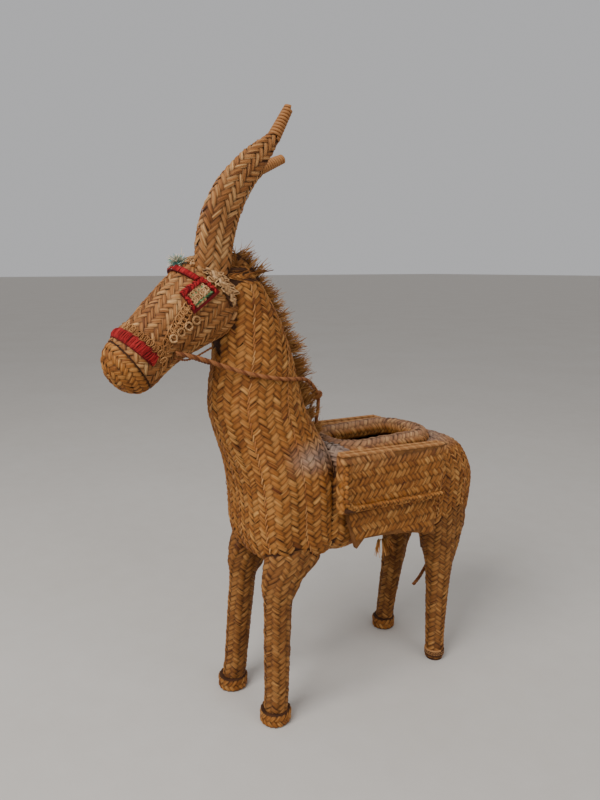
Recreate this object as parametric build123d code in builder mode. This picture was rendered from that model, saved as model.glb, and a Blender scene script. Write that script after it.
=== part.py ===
"""A floor-standing donkey plaited from esparto grass, with panniers, headstall and reins.

The donkey faces -Y, its left side is +X, and it stands on Z = 0. Lengths are in millimetres.
The trunk is a plaited basket that is open along the back. Sticks inside carry the legs and
the neck, straw fills the neck and the head, and everything else is sewn on.
"""
import math
import os

from build123d import *

os.makedirs("parts", exist_ok=True)

# ---------------------------------------------------------------- driving dimensions
PLAIT = 6.0            # thickness of one sewn layer of plait
SEAM_GAP = 0.3         # air between pieces that are only tied together
LEG_X = 63.0           # sideways distance of every leg from the middle
POST_RADIUS = 11.0     # sticks inside the legs
BAR_RADIUS = 9.0       # cross bars, floor rail and neck stake
SECTION_POINTS = 12    # points on each rounded section outline


# ---------------------------------------------------------------- shared shapes
def rounded_loop(half_width, half_height, squareness):
    """Points of a superellipse: squareness 2 is an ellipse, 4 is close to a rounded square."""
    points = []
    for step in range(SECTION_POINTS):
        angle = 2 * math.pi * step / SECTION_POINTS
        c = math.cos(angle)
        s = math.sin(angle)
        x = half_width * math.copysign(abs(c) ** (2 / squareness), c)
        y = half_height * math.copysign(abs(s) ** (2 / squareness), s)
        points.append((x, y))
    return points


def lofted_form(sections):
    """Smooth solid through (plane, half width, half height, squareness) sections."""
    with BuildPart() as form:
        for plane, half_width, half_height, squareness in sections:
            with BuildSketch(plane):
                with BuildLine():
                    Spline(*rounded_loop(half_width, half_height, squareness), periodic=True)
                make_face()
        loft()
    return form.part


def level_plane(x, y, z):
    """Horizontal section plane, seen from above, with X across the donkey."""
    return Plane(origin=(x, y, z), x_dir=(1, 0, 0), z_dir=(0, 0, 1))


def upright_plane(y, z):
    """Section plane across the donkey: its own x is X and its own y is Z."""
    return Plane(origin=(0, y, z), x_dir=(1, 0, 0), z_dir=(0, -1, 0))


# ---------------------------------------------------------------- chest and neck
# height, front, back, half width, squareness
NECK_SECTIONS = [
    (288, -128, 4, 74, 3.2),
    (330, -143, 10, 86, 3.4),
    (385, -146, 16, 90, 3.2),
    (430, -154, 14, 89, 2.8),
    (465, -167, 2, 80, 2.5),
    (505, -182, -20, 69, 2.3),
    (551, -193, -38, 62, 2.2),
    (617, -186, -54, 54, 2.1),
    (683, -188, -79, 47, 2.1),
    (745, -198, -116, 39, 2.1),
    (764, -197, -137, 35, 2.1),
]


def neck_form(inset=0.0):
    sections = []
    for height, front, back, half_width, squareness in NECK_SECTIONS:
        if height == NECK_SECTIONS[0][0]:
            height += inset
        if height == NECK_SECTIONS[-1][0]:
            height -= inset
        half_depth = (back - front) / 2 - inset
        plane = level_plane(0, (front + back) / 2, height)
        sections.append((plane, half_width - inset, half_depth, squareness))
    return lofted_form(sections)


# ---------------------------------------------------------------- barrel of the body
# distance along Y, half width, bottom, top, squareness
BARREL_SECTIONS = [
    (-52, 88, 285, 450, 2.8),
    (-12, 90, 280, 460, 3.0),
    (68, 93, 280, 464, 3.0),
    (148, 95, 272, 464, 3.0),
    (228, 95, 258, 457, 2.9),
    (282, 89, 252, 443, 2.7),
    (320, 76, 254, 428, 2.6),
    (343, 52, 270, 408, 2.4),
    (351, 24, 300, 380, 2.2),
]


def barrel_form(inset=0.0):
    sections = []
    for y, half_width, bottom, top, squareness in BARREL_SECTIONS:
        if y == BARREL_SECTIONS[-1][0]:
            y -= inset
        half_height = (top - bottom) / 2 - inset
        plane = upright_plane(y, (bottom + top) / 2)
        sections.append((plane, half_width - inset, half_height, squareness))
    return lofted_form(sections)


# ---------------------------------------------------------------- head
HEAD_TIP = Vector(0, -351, 606)
HEAD_DROP = 35.0       # degrees that the head axis falls towards the nose
# distance back from the nose tip along the axis, rise off the axis, half width, half height
HEAD_SECTIONS = [
    (0, 0, 12, 14),
    (8, 0, 25, 29),
    (24, 0, 37, 41),
    (48, 2, 40, 44),
    (90, 7, 41, 46),
    (130, 8, 44, 53),
    (165, 6, 47, 60),
    (200, 2, 47, 62),
    (222, 0, 36, 50),
]


def head_plane(back, rise):
    """Section plane square to the head axis, a distance back from the nose tip."""
    drop = math.radians(HEAD_DROP)
    along = Vector(0, math.cos(drop), math.sin(drop))
    up = Vector(0, -math.sin(drop), math.cos(drop))
    return Plane(origin=HEAD_TIP + along * back + up * rise, x_dir=(1, 0, 0), z_dir=-along)


def head_form(inset=0.0):
    sections = []
    for back, rise, half_width, half_height in HEAD_SECTIONS:
        if back == HEAD_SECTIONS[0][0]:
            back += inset
        if back == HEAD_SECTIONS[-1][0]:
            back -= inset
        sections.append((head_plane(back, rise), half_width - inset, half_height - inset, 2.1))
    return lofted_form(sections)


# ---------------------------------------------------------------- legs
# height, Y of the middle, half width, half depth
FRONT_LEG = [
    (0, -122, 19, 19),
    (60, -118, 19, 19),
    (150, -115, 20, 20.5),
    (215, -112, 21, 22),
    (250, -104, 24, 35),
    (280, -84, 25, 52),
    (310, -68, 23, 60),
    (336, -62, 18, 58),
]
HIND_LEG = [
    (0, 246, 16, 16),
    (60, 249, 17, 17),
    (140, 256, 20, 21),
    (190, 261, 22, 27),
    (230, 266, 26, 42),
    (275, 266, 29, 56),
    (302, 266, 28, 56),
    (332, 266, 24, 52),
]
# stations, X of the foot, how far the foot is set towards the tail
LEGS = {
    "front_left": (FRONT_LEG, 63, 2),
    "front_right": (FRONT_LEG, -63, -14),
    "hind_left": (HIND_LEG, 80, -4),
    "hind_right": (HIND_LEG, -66, -12),
}
HIP_HEIGHT = 240.0     # above this height all legs stand straight under the body
HIP_X = 60.0
LEG_STEP = 20.0        # longest step between the sections of a leg


def evenly_spaced(stations):
    """The stations with straight steps put in between, so that the loft can't swing past them."""
    stepped = []
    for lower, upper in zip(stations, stations[1:]):
        steps = math.ceil((upper[0] - lower[0]) / LEG_STEP)
        for step in range(steps):
            stepped.append([a + (b - a) * step / steps for a, b in zip(lower, upper)])
    return [*stepped, stations[-1]]


def leg_form(name, inset=0.0):
    stations, foot_x, foot_shift = LEGS[name]
    side = math.copysign(1, foot_x)
    sections = []
    for height, middle, half_width, half_depth in evenly_spaced(stations):
        lean = max(0.0, 1 - height / HIP_HEIGHT)
        x = side * HIP_X + (foot_x - side * HIP_X) * lean
        y = middle + foot_shift * lean
        if height == 0:
            height += inset
        sections.append((level_plane(x, y, height), half_width - inset, half_depth - inset, 2.0))
    return lofted_form(sections)


# ---------------------------------------------------------------- helpers for the pieces
def side_cut(form, outline):
    """Part of a head-shaped form seen through an outline of (back, rise) points from the side."""
    drop = math.radians(HEAD_DROP)
    along = Vector(0, math.cos(drop), math.sin(drop))
    side_view = Plane(origin=HEAD_TIP, x_dir=along, z_dir=(1, 0, 0))
    with BuildPart() as cut:
        add(form)
        with BuildSketch(side_view):
            Polygon(*outline, align=None)
        extrude(amount=150, both=True, mode=Mode.INTERSECT)
    return cut.part


def head_point(back, angle, lift):
    """Point at an angle round the head (0 is the left cheek, 90 the forehead), lifted off it."""
    nearer = [s for s in HEAD_SECTIONS if s[0] <= back][-1]
    farther = [s for s in HEAD_SECTIONS if s[0] >= back][0]
    span = max(farther[0] - nearer[0], 1e-6)
    share = (back - nearer[0]) / span
    rise, half_width, half_height = [
        nearer[i] + (farther[i] - nearer[i]) * share for i in (1, 2, 3)
    ]
    across = (half_width + lift) * math.cos(math.radians(angle))
    up = rise + (half_height + lift) * math.sin(math.radians(angle))
    plane = head_plane(back, 0)
    return plane.origin + plane.x_dir * across + plane.y_dir * up


def path_sections(points, sizes, squareness=2.0):
    """Sections square to a chain of points, for tapering forms such as ears."""
    vectors = [Vector(*p) for p in points]
    sections = []
    for i, here in enumerate(vectors):
        before = vectors[max(i - 1, 0)]
        after = vectors[min(i + 1, len(vectors) - 1)]
        plane = Plane(origin=here, x_dir=(1, 0, 0), z_dir=(after - before).normalized())
        sections.append((plane, sizes[i][0], sizes[i][1], squareness))
    return sections


def cord_tube(name, points, radius):
    """Tube of straight runs joined by tangent arcs, as large as the runs allow."""
    vectors = [Vector(*p) for p in points]
    radii = []
    for before, here, after in zip(vectors, vectors[1:], vectors[2:]):
        run_in = here - before
        run_out = after - here
        turn = math.radians(run_in.get_angle(run_out))
        shorter = min(run_in.length, run_out.length)
        radii.append(0.45 * shorter / math.tan(turn / 2))
    with BuildPart() as tube:
        with BuildLine() as route:
            FilletPolyline(*vectors, radius=radii)
        wire = route.wires()[0]
        with BuildSketch(Plane(origin=wire @ 0, z_dir=wire % 0)):
            Circle(radius)
        sweep(path=wire)
    expected = math.pi * radius ** 2 * wire.length
    print(name, "radii", [round(r) for r in radii], "length", round(wire.length, 1),
          "volume ratio", round(tube.part.volume / expected, 4))
    return tube.part


def halves(part, side):
    """The half of a part on the donkey's left (side 1) or right (side -1)."""
    with BuildPart() as half:
        add(part)
        split(bisect_by=Plane.YZ, keep=Keep.TOP if side > 0 else Keep.BOTTOM)
    return half.part


def minus(part, *others):
    """A part with other solids cut away."""
    with BuildPart() as rest:
        add(part)
        for other in others:
            add(other, mode=Mode.SUBTRACT)
    return rest.part


def save(name, part):
    """Label one finished piece and write it out under its own name."""
    part.label = name
    export_step(part, f"parts/{name}.step")
    FINISHED[name] = part


FINISHED = {}
SIDES = {"left": 1, "right": -1}

# ---------------------------------------------------------------- sticks inside
POST_TOP = 337.0
FRONT_BAR_Y = -110.0
HIND_BAR_Y = 268.0
BAR_HEIGHT = POST_TOP + BAR_RADIUS
BAR_HALF_LENGTH = 56.0     # a cross bar stops short of the walls it lies between
RAIL_HEIGHT = POST_TOP - BAR_RADIUS
STAKE_TOP = 715.0


def round_stick(bottom, top, bottom_radius, top_radius):
    with BuildPart() as stick:
        for (x, y, z), radius in ((bottom, bottom_radius), (top, top_radius)):
            with BuildSketch(level_plane(x, y, z)):
                Circle(radius)
        loft()
    return stick.part


posts = {}
for leg_name, (stations, foot_x, foot_shift) in LEGS.items():
    side = math.copysign(1, foot_x)
    bar_y = FRONT_BAR_Y if stations is FRONT_LEG else HIND_BAR_Y
    foot = (foot_x, stations[0][1] + foot_shift, PLAIT)
    posts[leg_name] = round_stick(foot, (side * HIP_X, bar_y, POST_TOP), 8.0, POST_RADIUS)

bars = {}
for bar_name, bar_y in (("front", FRONT_BAR_Y), ("hind", HIND_BAR_Y)):
    with BuildPart() as bar:
        with BuildSketch(Plane.YZ.offset(-BAR_HALF_LENGTH)):
            with Locations((bar_y, BAR_HEIGHT)):
                Circle(BAR_RADIUS)
        extrude(amount=2 * BAR_HALF_LENGTH)
    bars[bar_name] = bar.part

with BuildPart() as floor_rail:
    with BuildSketch(Plane(origin=(0, FRONT_BAR_Y - 12, RAIL_HEIGHT), z_dir=(0, 1, 0))):
        Circle(BAR_RADIUS)
    extrude(amount=HIND_BAR_Y - FRONT_BAR_Y + 24)

neck_stake = round_stick(
    (0, FRONT_BAR_Y, BAR_HEIGHT + BAR_RADIUS), (0, -164, STAKE_TOP), BAR_RADIUS, BAR_RADIUS
)
all_sticks = [*posts.values(), *bars.values(), floor_rail.part, neck_stake]

for leg_name, post in posts.items():
    save(f"leg_post_{leg_name}", post)
for bar_name, bar_part in bars.items():
    save(f"{bar_name}_crossbar", bar_part)
save("floor_rail", floor_rail.part)
save("neck_stake", neck_stake)

# ---------------------------------------------------------------- head: shell, muzzle, filling
MUZZLE_DEPTH = 34.0    # the round end of the nose is a cap sewn on at this distance

head_solid = head_form()
head_filling = minus(head_form(PLAIT), neck_stake)
head_skin = minus(head_solid, head_form(PLAIT), neck_stake)
BACK_VIEW = [(MUZZLE_DEPTH, -120), (MUZZLE_DEPTH, 120), (300, 120), (300, -120)]
NOSE_VIEW = [(MUZZLE_DEPTH, -120), (MUZZLE_DEPTH, 120), (-40, 120), (-40, -120)]
save("head_shell", side_cut(head_skin, BACK_VIEW))
save("muzzle_cap", side_cut(head_skin, NOSE_VIEW))
save("head_straw_filling", head_filling)

# ---------------------------------------------------------------- chest and neck
neck_solid = neck_form()
save("neck_shell", minus(neck_solid, neck_form(PLAIT), head_solid, *all_sticks))
save("neck_straw_filling", minus(neck_form(PLAIT), head_solid, *all_sticks))

# ---------------------------------------------------------------- barrel, open along the back
OPENING_FRONT = 26.0
OPENING_REAR = 226.0
OPENING_HALF = 60.0    # to the middle of the rolled rim
RIM_RADIUS = 15.0
RIM_HEIGHT = 453.0
RIM_CORNER = 46.0

rim_middle = Plane.XY.offset(RIM_HEIGHT)
opening_length = OPENING_REAR - OPENING_FRONT
opening_centre = (0, (OPENING_FRONT + OPENING_REAR) / 2)
with BuildPart() as rim_ring:
    with BuildSketch(rim_middle):
        with Locations(opening_centre):
            RectangleRounded(2 * OPENING_HALF, opening_length, RIM_CORNER)
    rim_edges = rim_ring.pending_faces[0].outer_wire()
    rim_ring.pending_faces.clear()
    with BuildSketch(Plane(origin=(OPENING_HALF, opening_centre[1], RIM_HEIGHT), z_dir=(0, 1, 0))):
        Circle(RIM_RADIUS)
    sweep(path=rim_edges)

barrel_solid = barrel_form()
with BuildPart() as barrel:
    add(minus(barrel_solid, barrel_form(PLAIT), neck_solid, *all_sticks))
    with BuildSketch(rim_middle):
        with Locations(opening_centre):
            RectangleRounded(2 * OPENING_HALF, opening_length, RIM_CORNER)
    extrude(amount=40, both=True, mode=Mode.SUBTRACT)
    add(rim_ring.part, mode=Mode.SUBTRACT)
save("barrel_shell", barrel.part)
for side_name, side in SIDES.items():
    save(f"back_rim_{side_name}", minus(halves(rim_ring.part, side), neck_solid))

# ---------------------------------------------------------------- legs and feet
CUFF_HEIGHT = 24.0
CUFF_THICKNESS = 6.0


def foot_ring(name, bottom, height, thickness):
    """Plaited ring round the lower end of a leg."""
    stations, foot_x, foot_shift = LEGS[name]
    middle_y = stations[0][1] + foot_shift
    radius = stations[0][2] + thickness
    with BuildPart() as ring:
        with BuildSketch(level_plane(foot_x, middle_y, bottom)):
            Circle(radius)
        extrude(amount=height)
        fillet(ring.edges().filter_by(GeomType.CIRCLE), radius=thickness * 0.45)
    return ring.part


leg_solids = {leg_name: leg_form(leg_name) for leg_name in LEGS}
for leg_name, leg_solid in leg_solids.items():
    bore = leg_form(leg_name, PLAIT)
    save(f"leg_{leg_name}", minus(leg_solid, bore, neck_solid, barrel_solid))

for leg_name in ("front_left", "front_right", "hind_right"):
    cuff = foot_ring(leg_name, 0.0, CUFF_HEIGHT, CUFF_THICKNESS)
    save(f"hoof_cuff_{leg_name}", minus(cuff, leg_solids[leg_name]))
foot_binding = foot_ring("hind_left", 8.0, 12.0, 3.5)
save("foot_binding_hind_left", minus(foot_binding, leg_solids["hind_left"]))

FLAP_THICKNESS = 5.0
with BuildPart() as thigh_flap:
    with BuildSketch(Plane.YZ.offset(HIP_X - 32)):
        Polygon((236, 262), (290, 262), (288, 206), (270, 196), (244, 214), align=None)
    extrude(amount=FLAP_THICKNESS)
save("thigh_flap_left", minus(thigh_flap.part, barrel_solid, leg_solids["hind_left"]))

# ---------------------------------------------------------------- ears
# middle line (X, Y, Z), then half thickness and half width of the folded plait
LEFT_EAR = [
    ((28, -200, 752), (11, 26)),
    ((32, -198, 800), (11, 28)),
    ((36, -186, 846), (10, 27)),
    ((38, -160, 890), (9, 23)),
    ((38, -122, 931), (8, 15)),
    ((38, -100, 953), (7, 8)),
]
RIGHT_EAR = [
    ((-22, -180, 752), (11, 24)),
    ((-25, -173, 795), (11, 22)),
    ((-28, -158, 836), (10, 20)),
    ((-32, -134, 876), (9, 18)),
    ((-37, -99, 908), (8, 13)),
    ((-39, -78, 921), (7, 8)),
]
EAR_TIPS = {"left": (38, -74, 1000), "right": (-40, -34, 939)}
TIP_RADIUS = 5.0

ear_solids = {}
for side_name, ear in (("left", LEFT_EAR), ("right", RIGHT_EAR)):
    points = [place for place, size in ear]
    sizes = [size for place, size in ear]
    whole = lofted_form(path_sections(points, sizes, squareness=2.3))
    ear_solids[side_name] = minus(whole, head_solid, neck_solid)
    save(f"ear_{side_name}", ear_solids[side_name])
    tip_points = [points[-1], EAR_TIPS[side_name]]
    tip_sizes = [sizes[-1], (TIP_RADIUS, TIP_RADIUS)]
    tip = lofted_form(path_sections(tip_points, tip_sizes))
    save(f"ear_tip_binding_{side_name}", minus(tip, ear_solids[side_name]))

# ---------------------------------------------------------------- mane
MANE_BAND_HALF = 7.0
TUFT_COUNT = 17
TUFT_LENGTH = 21.0
TUFT_WIDTH = 12.0
CREST = [
    (-186, 782), (-140, 781), (-110, 749), (-73, 687), (-48, 621), (-32, 555), (-10, 504), (14, 470)
]

with BuildPart() as mane_band:
    with BuildSketch(Plane.YZ):
        with BuildLine():
            crest_line = Spline(*CREST)
            Polyline(crest_line @ 1, (-52, 440), (-192, 640), crest_line @ 0)
        make_face()
    extrude(amount=MANE_BAND_HALF, both=True)
mane_solid = minus(mane_band.part, neck_solid, head_solid, *ear_solids.values())
save("mane_band", mane_solid.solids().sort_by(SortBy.VOLUME)[-1])

with BuildLine() as tuft_line:
    Spline(*[(0, y, z) for y, z in CREST])
tuft_wire = tuft_line.wires()[0]
with BuildPart() as mane_tufts:
    for i in range(TUFT_COUNT):
        share = 0.10 + 0.80 * i / (TUFT_COUNT - 1)
        root = tuft_wire @ share
        tangent = tuft_wire % share
        outward = Vector(0, -tangent.Z, tangent.Y)
        with BuildSketch(Plane(origin=root + outward, x_dir=(1, 0, 0), z_dir=outward)):
            Rectangle(TUFT_WIDTH, TUFT_WIDTH)
        extrude(amount=TUFT_LENGTH, taper=4)
save("mane_tufts", mane_tufts.part)

# ---------------------------------------------------------------- panniers
POCKET_WALL = 4.5
POCKET_BOTTOM = 368.0
POCKET_CORNER = 8.0
PANNIER_INNER_X = 99.5
RIM_CORD_RADIUS = 2.6
BRAID_RADIUS = 4.0
# front Y, rear Y, outer X, rim height at the front, rim height at the rear
PANNIERS = {
    "left": (-22, 206, 118.0, 465, 452),
    "right": (14, 244, 126.0, 460, 452),
}
# lower panel, as steps from the front of the pocket along Y and heights
LOWER_PANEL = [(16, 366), (38, 297), (54, 312), (92, 309), (154, 300), (219, 282), (222, 366)]
PANEL_THICKNESS = 9.0


def pannier_pocket(side, front, rear, outer_x, rim_front, rim_rear, wall):
    """Flat pocket open at the top, with the wall taken off all round its outline."""
    inner_x = PANNIER_INNER_X + wall
    width = outer_x - wall - inner_x
    top = 40.0 if wall else 0.0
    bottom = POCKET_BOTTOM + wall
    corners = [
        (front + wall, bottom),
        (rear - wall, bottom),
        (rear - wall, rim_rear + top),
        (front + wall, rim_front + top),
    ]
    start = side * inner_x
    with BuildPart() as pocket:
        with BuildSketch(Plane.YZ.offset(start)):
            Polygon(*corners, align=None)
        extrude(amount=side * width)
        outer_face = pocket.faces().sort_by(Axis.X)[-1 if side > 0 else 0]
        upright = outer_face.edges().filter_by(Axis.Z)
        fillet(upright, radius=POCKET_CORNER - wall)
    return pocket.part


for side_name, (front, rear, outer_x, rim_front, rim_rear) in PANNIERS.items():
    side = SIDES[side_name]
    sizes = (side, front, rear, outer_x, rim_front, rim_rear)
    pocket = minus(pannier_pocket(*sizes, 0.0), pannier_pocket(*sizes, POCKET_WALL))
    save(f"pannier_{side_name}", pocket)

    with BuildPart() as lower_panel:
        with BuildSketch(Plane.YZ.offset(side * PANNIER_INNER_X)):
            Polygon(*[(front + along, height) for along, height in LOWER_PANEL], align=None)
        extrude(amount=side * PANEL_THICKNESS)
    save(f"pannier_lower_panel_{side_name}", lower_panel.part)

    length = rear - front
    slope = Vector(0, length, rim_rear - rim_front).normalized()
    middle_x = side * (PANNIER_INNER_X + outer_x) / 2
    cord_lift = RIM_CORD_RADIUS + SEAM_GAP
    rim_centre = Vector(middle_x, (front + rear) / 2, (rim_front + rim_rear) / 2 + cord_lift)
    rim_plane = Plane(origin=rim_centre, x_dir=slope, z_dir=(0, -slope.Z, slope.Y))
    with BuildPart() as rim_cord:
        with BuildSketch(rim_plane):
            cord_length = length - POCKET_WALL
            cord_width = outer_x - PANNIER_INNER_X - POCKET_WALL
            RectangleRounded(cord_length, cord_width, POCKET_CORNER - POCKET_WALL / 2)
        rim_path = rim_cord.pending_faces[0].outer_wire()
        rim_cord.pending_faces.clear()
        with BuildSketch(Plane(origin=rim_path @ 0, z_dir=rim_path % 0)):
            Circle(RIM_CORD_RADIUS)
        sweep(path=rim_path)
    save(f"pannier_rim_cord_{side_name}", rim_cord.part)

    braid_x = side * (outer_x + BRAID_RADIUS + SEAM_GAP)
    with BuildPart() as braid:
        with BuildSketch(Plane(origin=(braid_x, front + 3, POCKET_BOTTOM + 8), z_dir=slope)):
            Circle(BRAID_RADIUS)
        extrude(amount=length - 6)
    save(f"pannier_braid_{side_name}", braid.part)

with BuildPart() as loose_strands:
    for along, drop, lean in ((92, 30, -8), (101, 38, 6), (108, 24, 14)):
        strand_start = (PANNIER_INNER_X + 4, PANNIERS["left"][0] + along, 299)
        strand_way = Vector(2, lean, -drop)
        with BuildSketch(Plane(origin=strand_start, z_dir=strand_way.normalized())):
            Circle(1.5)
        extrude(amount=strand_way.length)
save("loose_strands", loose_strands.part)

# ---------------------------------------------------------------- headstall
BAND_LIFT = 3.5
WOOL_LIFT = 6.5
NOSEBAND_VIEW = [(37, 60), (57, 60), (68, -4), (50, -8)]
BROWBAND_VIEW = [(162, 90), (173, 90), (184, 48), (175, 48)]
BLINKER_VIEW = [(150, 17), (153, 41), (181, 41), (186, 19)]
EDGING_OUTER = [(143, 14), (147, 47), (187, 47), (193, 16)]
CROWN_VIEW = [(194, 52), (207, 50), (214, 30), (208, -16), (197, -14), (200, 28)]

band_layer = minus(head_form(-BAND_LIFT), head_solid, neck_solid)
wool_layer = minus(head_form(-WOOL_LIFT), head_solid, neck_solid)
noseband = side_cut(band_layer, NOSEBAND_VIEW)
save("noseband", noseband)
crown_bands = side_cut(wool_layer, CROWN_VIEW)
blinkers = side_cut(band_layer, BLINKER_VIEW)
edgings = minus(
    side_cut(wool_layer, EDGING_OUTER),
    side_cut(wool_layer, [(back, min(rise, 41)) for back, rise in BLINKER_VIEW]),
)
browband = side_cut(wool_layer, BROWBAND_VIEW)
save("browband", browband)
for side_name, side in SIDES.items():
    save(f"blinker_{side_name}", halves(blinkers, side))
    save(f"blinker_wool_edging_{side_name}", halves(edgings, side))
    save(f"crown_band_{side_name}", halves(crown_bands, side))

TUFT_BALL_RADIUS = 9.0
tuft_centre = head_point(181, 90, 3)
with BuildPart() as forehead_tuft:
    with BuildSketch(Plane.YZ):
        with Locations((tuft_centre.Y, tuft_centre.Z)):
            Circle(TUFT_BALL_RADIUS)
    extrude(amount=TUFT_BALL_RADIUS, both=True)
    fillet(forehead_tuft.edges().filter_by(GeomType.CIRCLE), radius=TUFT_BALL_RADIUS * 0.6)
save("forehead_tuft", minus(forehead_tuft.part, head_solid, browband))

LOOP_OUTER = 6.8
LOOP_INNER = 4.0
LOOP_THICKNESS = 4.0
LOOP_BACKS = [98 + 14.2 * i for i in range(4)]
REIN_RING_BACK = 80.0
REIN_RING_RISE = -9.0
RING_MAJOR = 8.0
RING_MINOR = 2.2


def cheek_point(back, rise, reach, side, lift):
    """Point beside the cheek, clear of the head for a reach towards its wider rear."""
    place = head_plane(back, rise).origin
    across = head_point(back + reach, 0, lift).X
    return Vector(side * across, place.Y, place.Z)


rein_ring_centres = {}
for side_name, side in SIDES.items():
    with BuildPart() as cheek_loops:
        for back in LOOP_BACKS:
            centre = cheek_point(back, 4, LOOP_OUTER, side, SEAM_GAP)
            with BuildSketch(Plane(origin=centre, z_dir=(side, 0, 0))):
                Circle(LOOP_OUTER)
                Circle(LOOP_INNER, mode=Mode.SUBTRACT)
            extrude(amount=LOOP_THICKNESS)
    save(f"cheek_loops_{side_name}", cheek_loops.part)

    ring_lift = RING_MINOR + SEAM_GAP
    ring_centre = cheek_point(
        REIN_RING_BACK, REIN_RING_RISE, RING_MAJOR + RING_MINOR, side, ring_lift
    )
    rein_ring_centres[side_name] = ring_centre
    with BuildPart() as rein_ring:
        with BuildSketch(Plane(origin=ring_centre, x_dir=(0, 0, 1), z_dir=(0, 1, 0))):
            with Locations((RING_MAJOR, 0)):
                Circle(RING_MINOR)
        revolve(axis=Axis(ring_centre, (1, 0, 0)))
    save(f"rein_ring_{side_name}", rein_ring.part)
    print("rein ring", side_name, [round(c, 1) for c in ring_centre])

# ---------------------------------------------------------------- reins, knot and loose cords
REIN_RADIUS = 3.4
KNOT_RADIUS = 8.5
KNOT_CENTRE = (0, 10, 546)
# from the ring past the throat, along the neck and round behind the mane, for the left side
REIN_ROUTE = [
    (42.5, -269.6, 644.0),
    (45.0, -248.0, 639.0),
    (45.5, -222.0, 630.0),
    (48.0, -195.0, 619.0),
    (56.0, -168.0, 609.0),
    (63.0, -139.0, 601.0),
    (65.0, -109.0, 594.5),
    (58.0, -80.0, 590.0),
    (43.0, -54.0, 587.0),
    (27.0, -30.0, 580.0),
    (15.0, -9.0, 565.0),
    (6.5, 5.0, 550.0),
]
REIN_DROP_ROUTE = [
    (0.0, 11.0, 539.0),
    (0.5, 10.0, 520.0),
    (-1.5, 7.0, 501.0),
    (1.0, 6.5, 483.0),
    (0.0, 8.5, 468.5),
]
THIN_STRAND_RADIUS = 1.6
THIN_STRAND_ROUTE = [
    (-6.0, 7.0, 539.5),
    (-9.0, 1.0, 529.0),
    (-10.0, -1.0, 517.0),
    (-7.5, -1.0, 505.0),
    (-5.0, -6.0, 495.0),
]
ROPE_END_RADIUS = 3.5
ROPE_END_ROUTE = [
    (33.0, 271.0, 190.0),
    (31.0, 263.0, 176.0),
    (30.5, 251.0, 161.0),
    (33.0, 237.0, 149.0),
    (31.0, 225.0, 139.0),
]
THROAT_CORD_RADIUS = 1.7
THROAT_CORD_ROUTE = [
    (40.0, -270.0, 636.0),
    (33.5, -253.0, 630.0),
    (27.5, -235.0, 632.5),
    (24.5, -218.0, 639.0),
    (24.0, -203.0, 646.0),
]

reins = {}
for side_name, side in SIDES.items():
    mirrored = [(side * x, y, z) for x, y, z in REIN_ROUTE]
    reins[side_name] = cord_tube(f"rein {side_name}", mirrored, REIN_RADIUS)
    save(f"rein_{side_name}", reins[side_name])

rein_drop = cord_tube("rein drop", REIN_DROP_ROUTE, REIN_RADIUS)
save("rein_drop_cord", rein_drop)
thin_strand = cord_tube("thin strand", THIN_STRAND_ROUTE, THIN_STRAND_RADIUS)
save("thin_mane_strand", thin_strand)
save("hind_rope_end", cord_tube("hind rope end", ROPE_END_ROUTE, ROPE_END_RADIUS))
save("throat_cord", cord_tube("throat cord", THROAT_CORD_ROUTE, THROAT_CORD_RADIUS))

with BuildPart() as rein_knot:
    with BuildSketch(Plane.XZ.offset(-KNOT_CENTRE[1])):
        with Locations((KNOT_CENTRE[0], KNOT_CENTRE[2])):
            Circle(KNOT_RADIUS)
    extrude(amount=KNOT_RADIUS, both=True)
    fillet(rein_knot.edges().filter_by(GeomType.CIRCLE), radius=KNOT_RADIUS * 0.6)
save("rein_knot", minus(rein_knot.part, *reins.values(), rein_drop, thin_strand))
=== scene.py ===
"""Looks of the floor-standing donkey plaited from esparto grass.

Every piece is laid over its CAD node: rays find the node's outer surface, and the plait is built
on it strand by strand. Lengths are in metres, the donkey faces -Y and its left side is +X.
"""
import math

import bpy
import numpy as np
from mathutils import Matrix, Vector
from mathutils.bvhtree import BVHTree


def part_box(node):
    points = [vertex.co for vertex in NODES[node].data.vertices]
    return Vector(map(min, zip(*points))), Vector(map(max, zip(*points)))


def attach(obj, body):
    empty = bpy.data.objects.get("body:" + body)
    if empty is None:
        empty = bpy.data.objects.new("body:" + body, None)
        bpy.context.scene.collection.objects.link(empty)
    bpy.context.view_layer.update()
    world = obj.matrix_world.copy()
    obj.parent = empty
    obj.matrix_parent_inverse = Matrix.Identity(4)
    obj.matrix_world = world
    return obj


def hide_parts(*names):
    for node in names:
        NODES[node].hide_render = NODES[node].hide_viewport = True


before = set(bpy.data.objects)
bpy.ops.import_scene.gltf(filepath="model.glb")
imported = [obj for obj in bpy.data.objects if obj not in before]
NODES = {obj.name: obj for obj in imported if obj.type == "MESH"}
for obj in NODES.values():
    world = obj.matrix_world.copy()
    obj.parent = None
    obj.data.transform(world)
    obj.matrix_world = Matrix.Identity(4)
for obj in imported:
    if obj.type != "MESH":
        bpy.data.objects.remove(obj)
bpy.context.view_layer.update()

SIDES = {"left": 1, "right": -1}

# ------------------------------------------------------------ camera, light and floor
CAMERA_PLACE = (0.9135, -0.6322, 0.764)
CAMERA_TURN = math.radians(56.5)
CAMERA_DROP = math.radians(11.5)

camera_data = bpy.data.cameras.new("camera")
camera_data.sensor_width = 36.0
camera_data.lens = 29.25
camera = bpy.data.objects.new("camera", camera_data)
camera.location = CAMERA_PLACE
camera.rotation_euler = (math.pi / 2 - CAMERA_DROP, 0.0, CAMERA_TURN)
bpy.context.scene.collection.objects.link(camera)
bpy.context.scene.camera = camera


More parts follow.
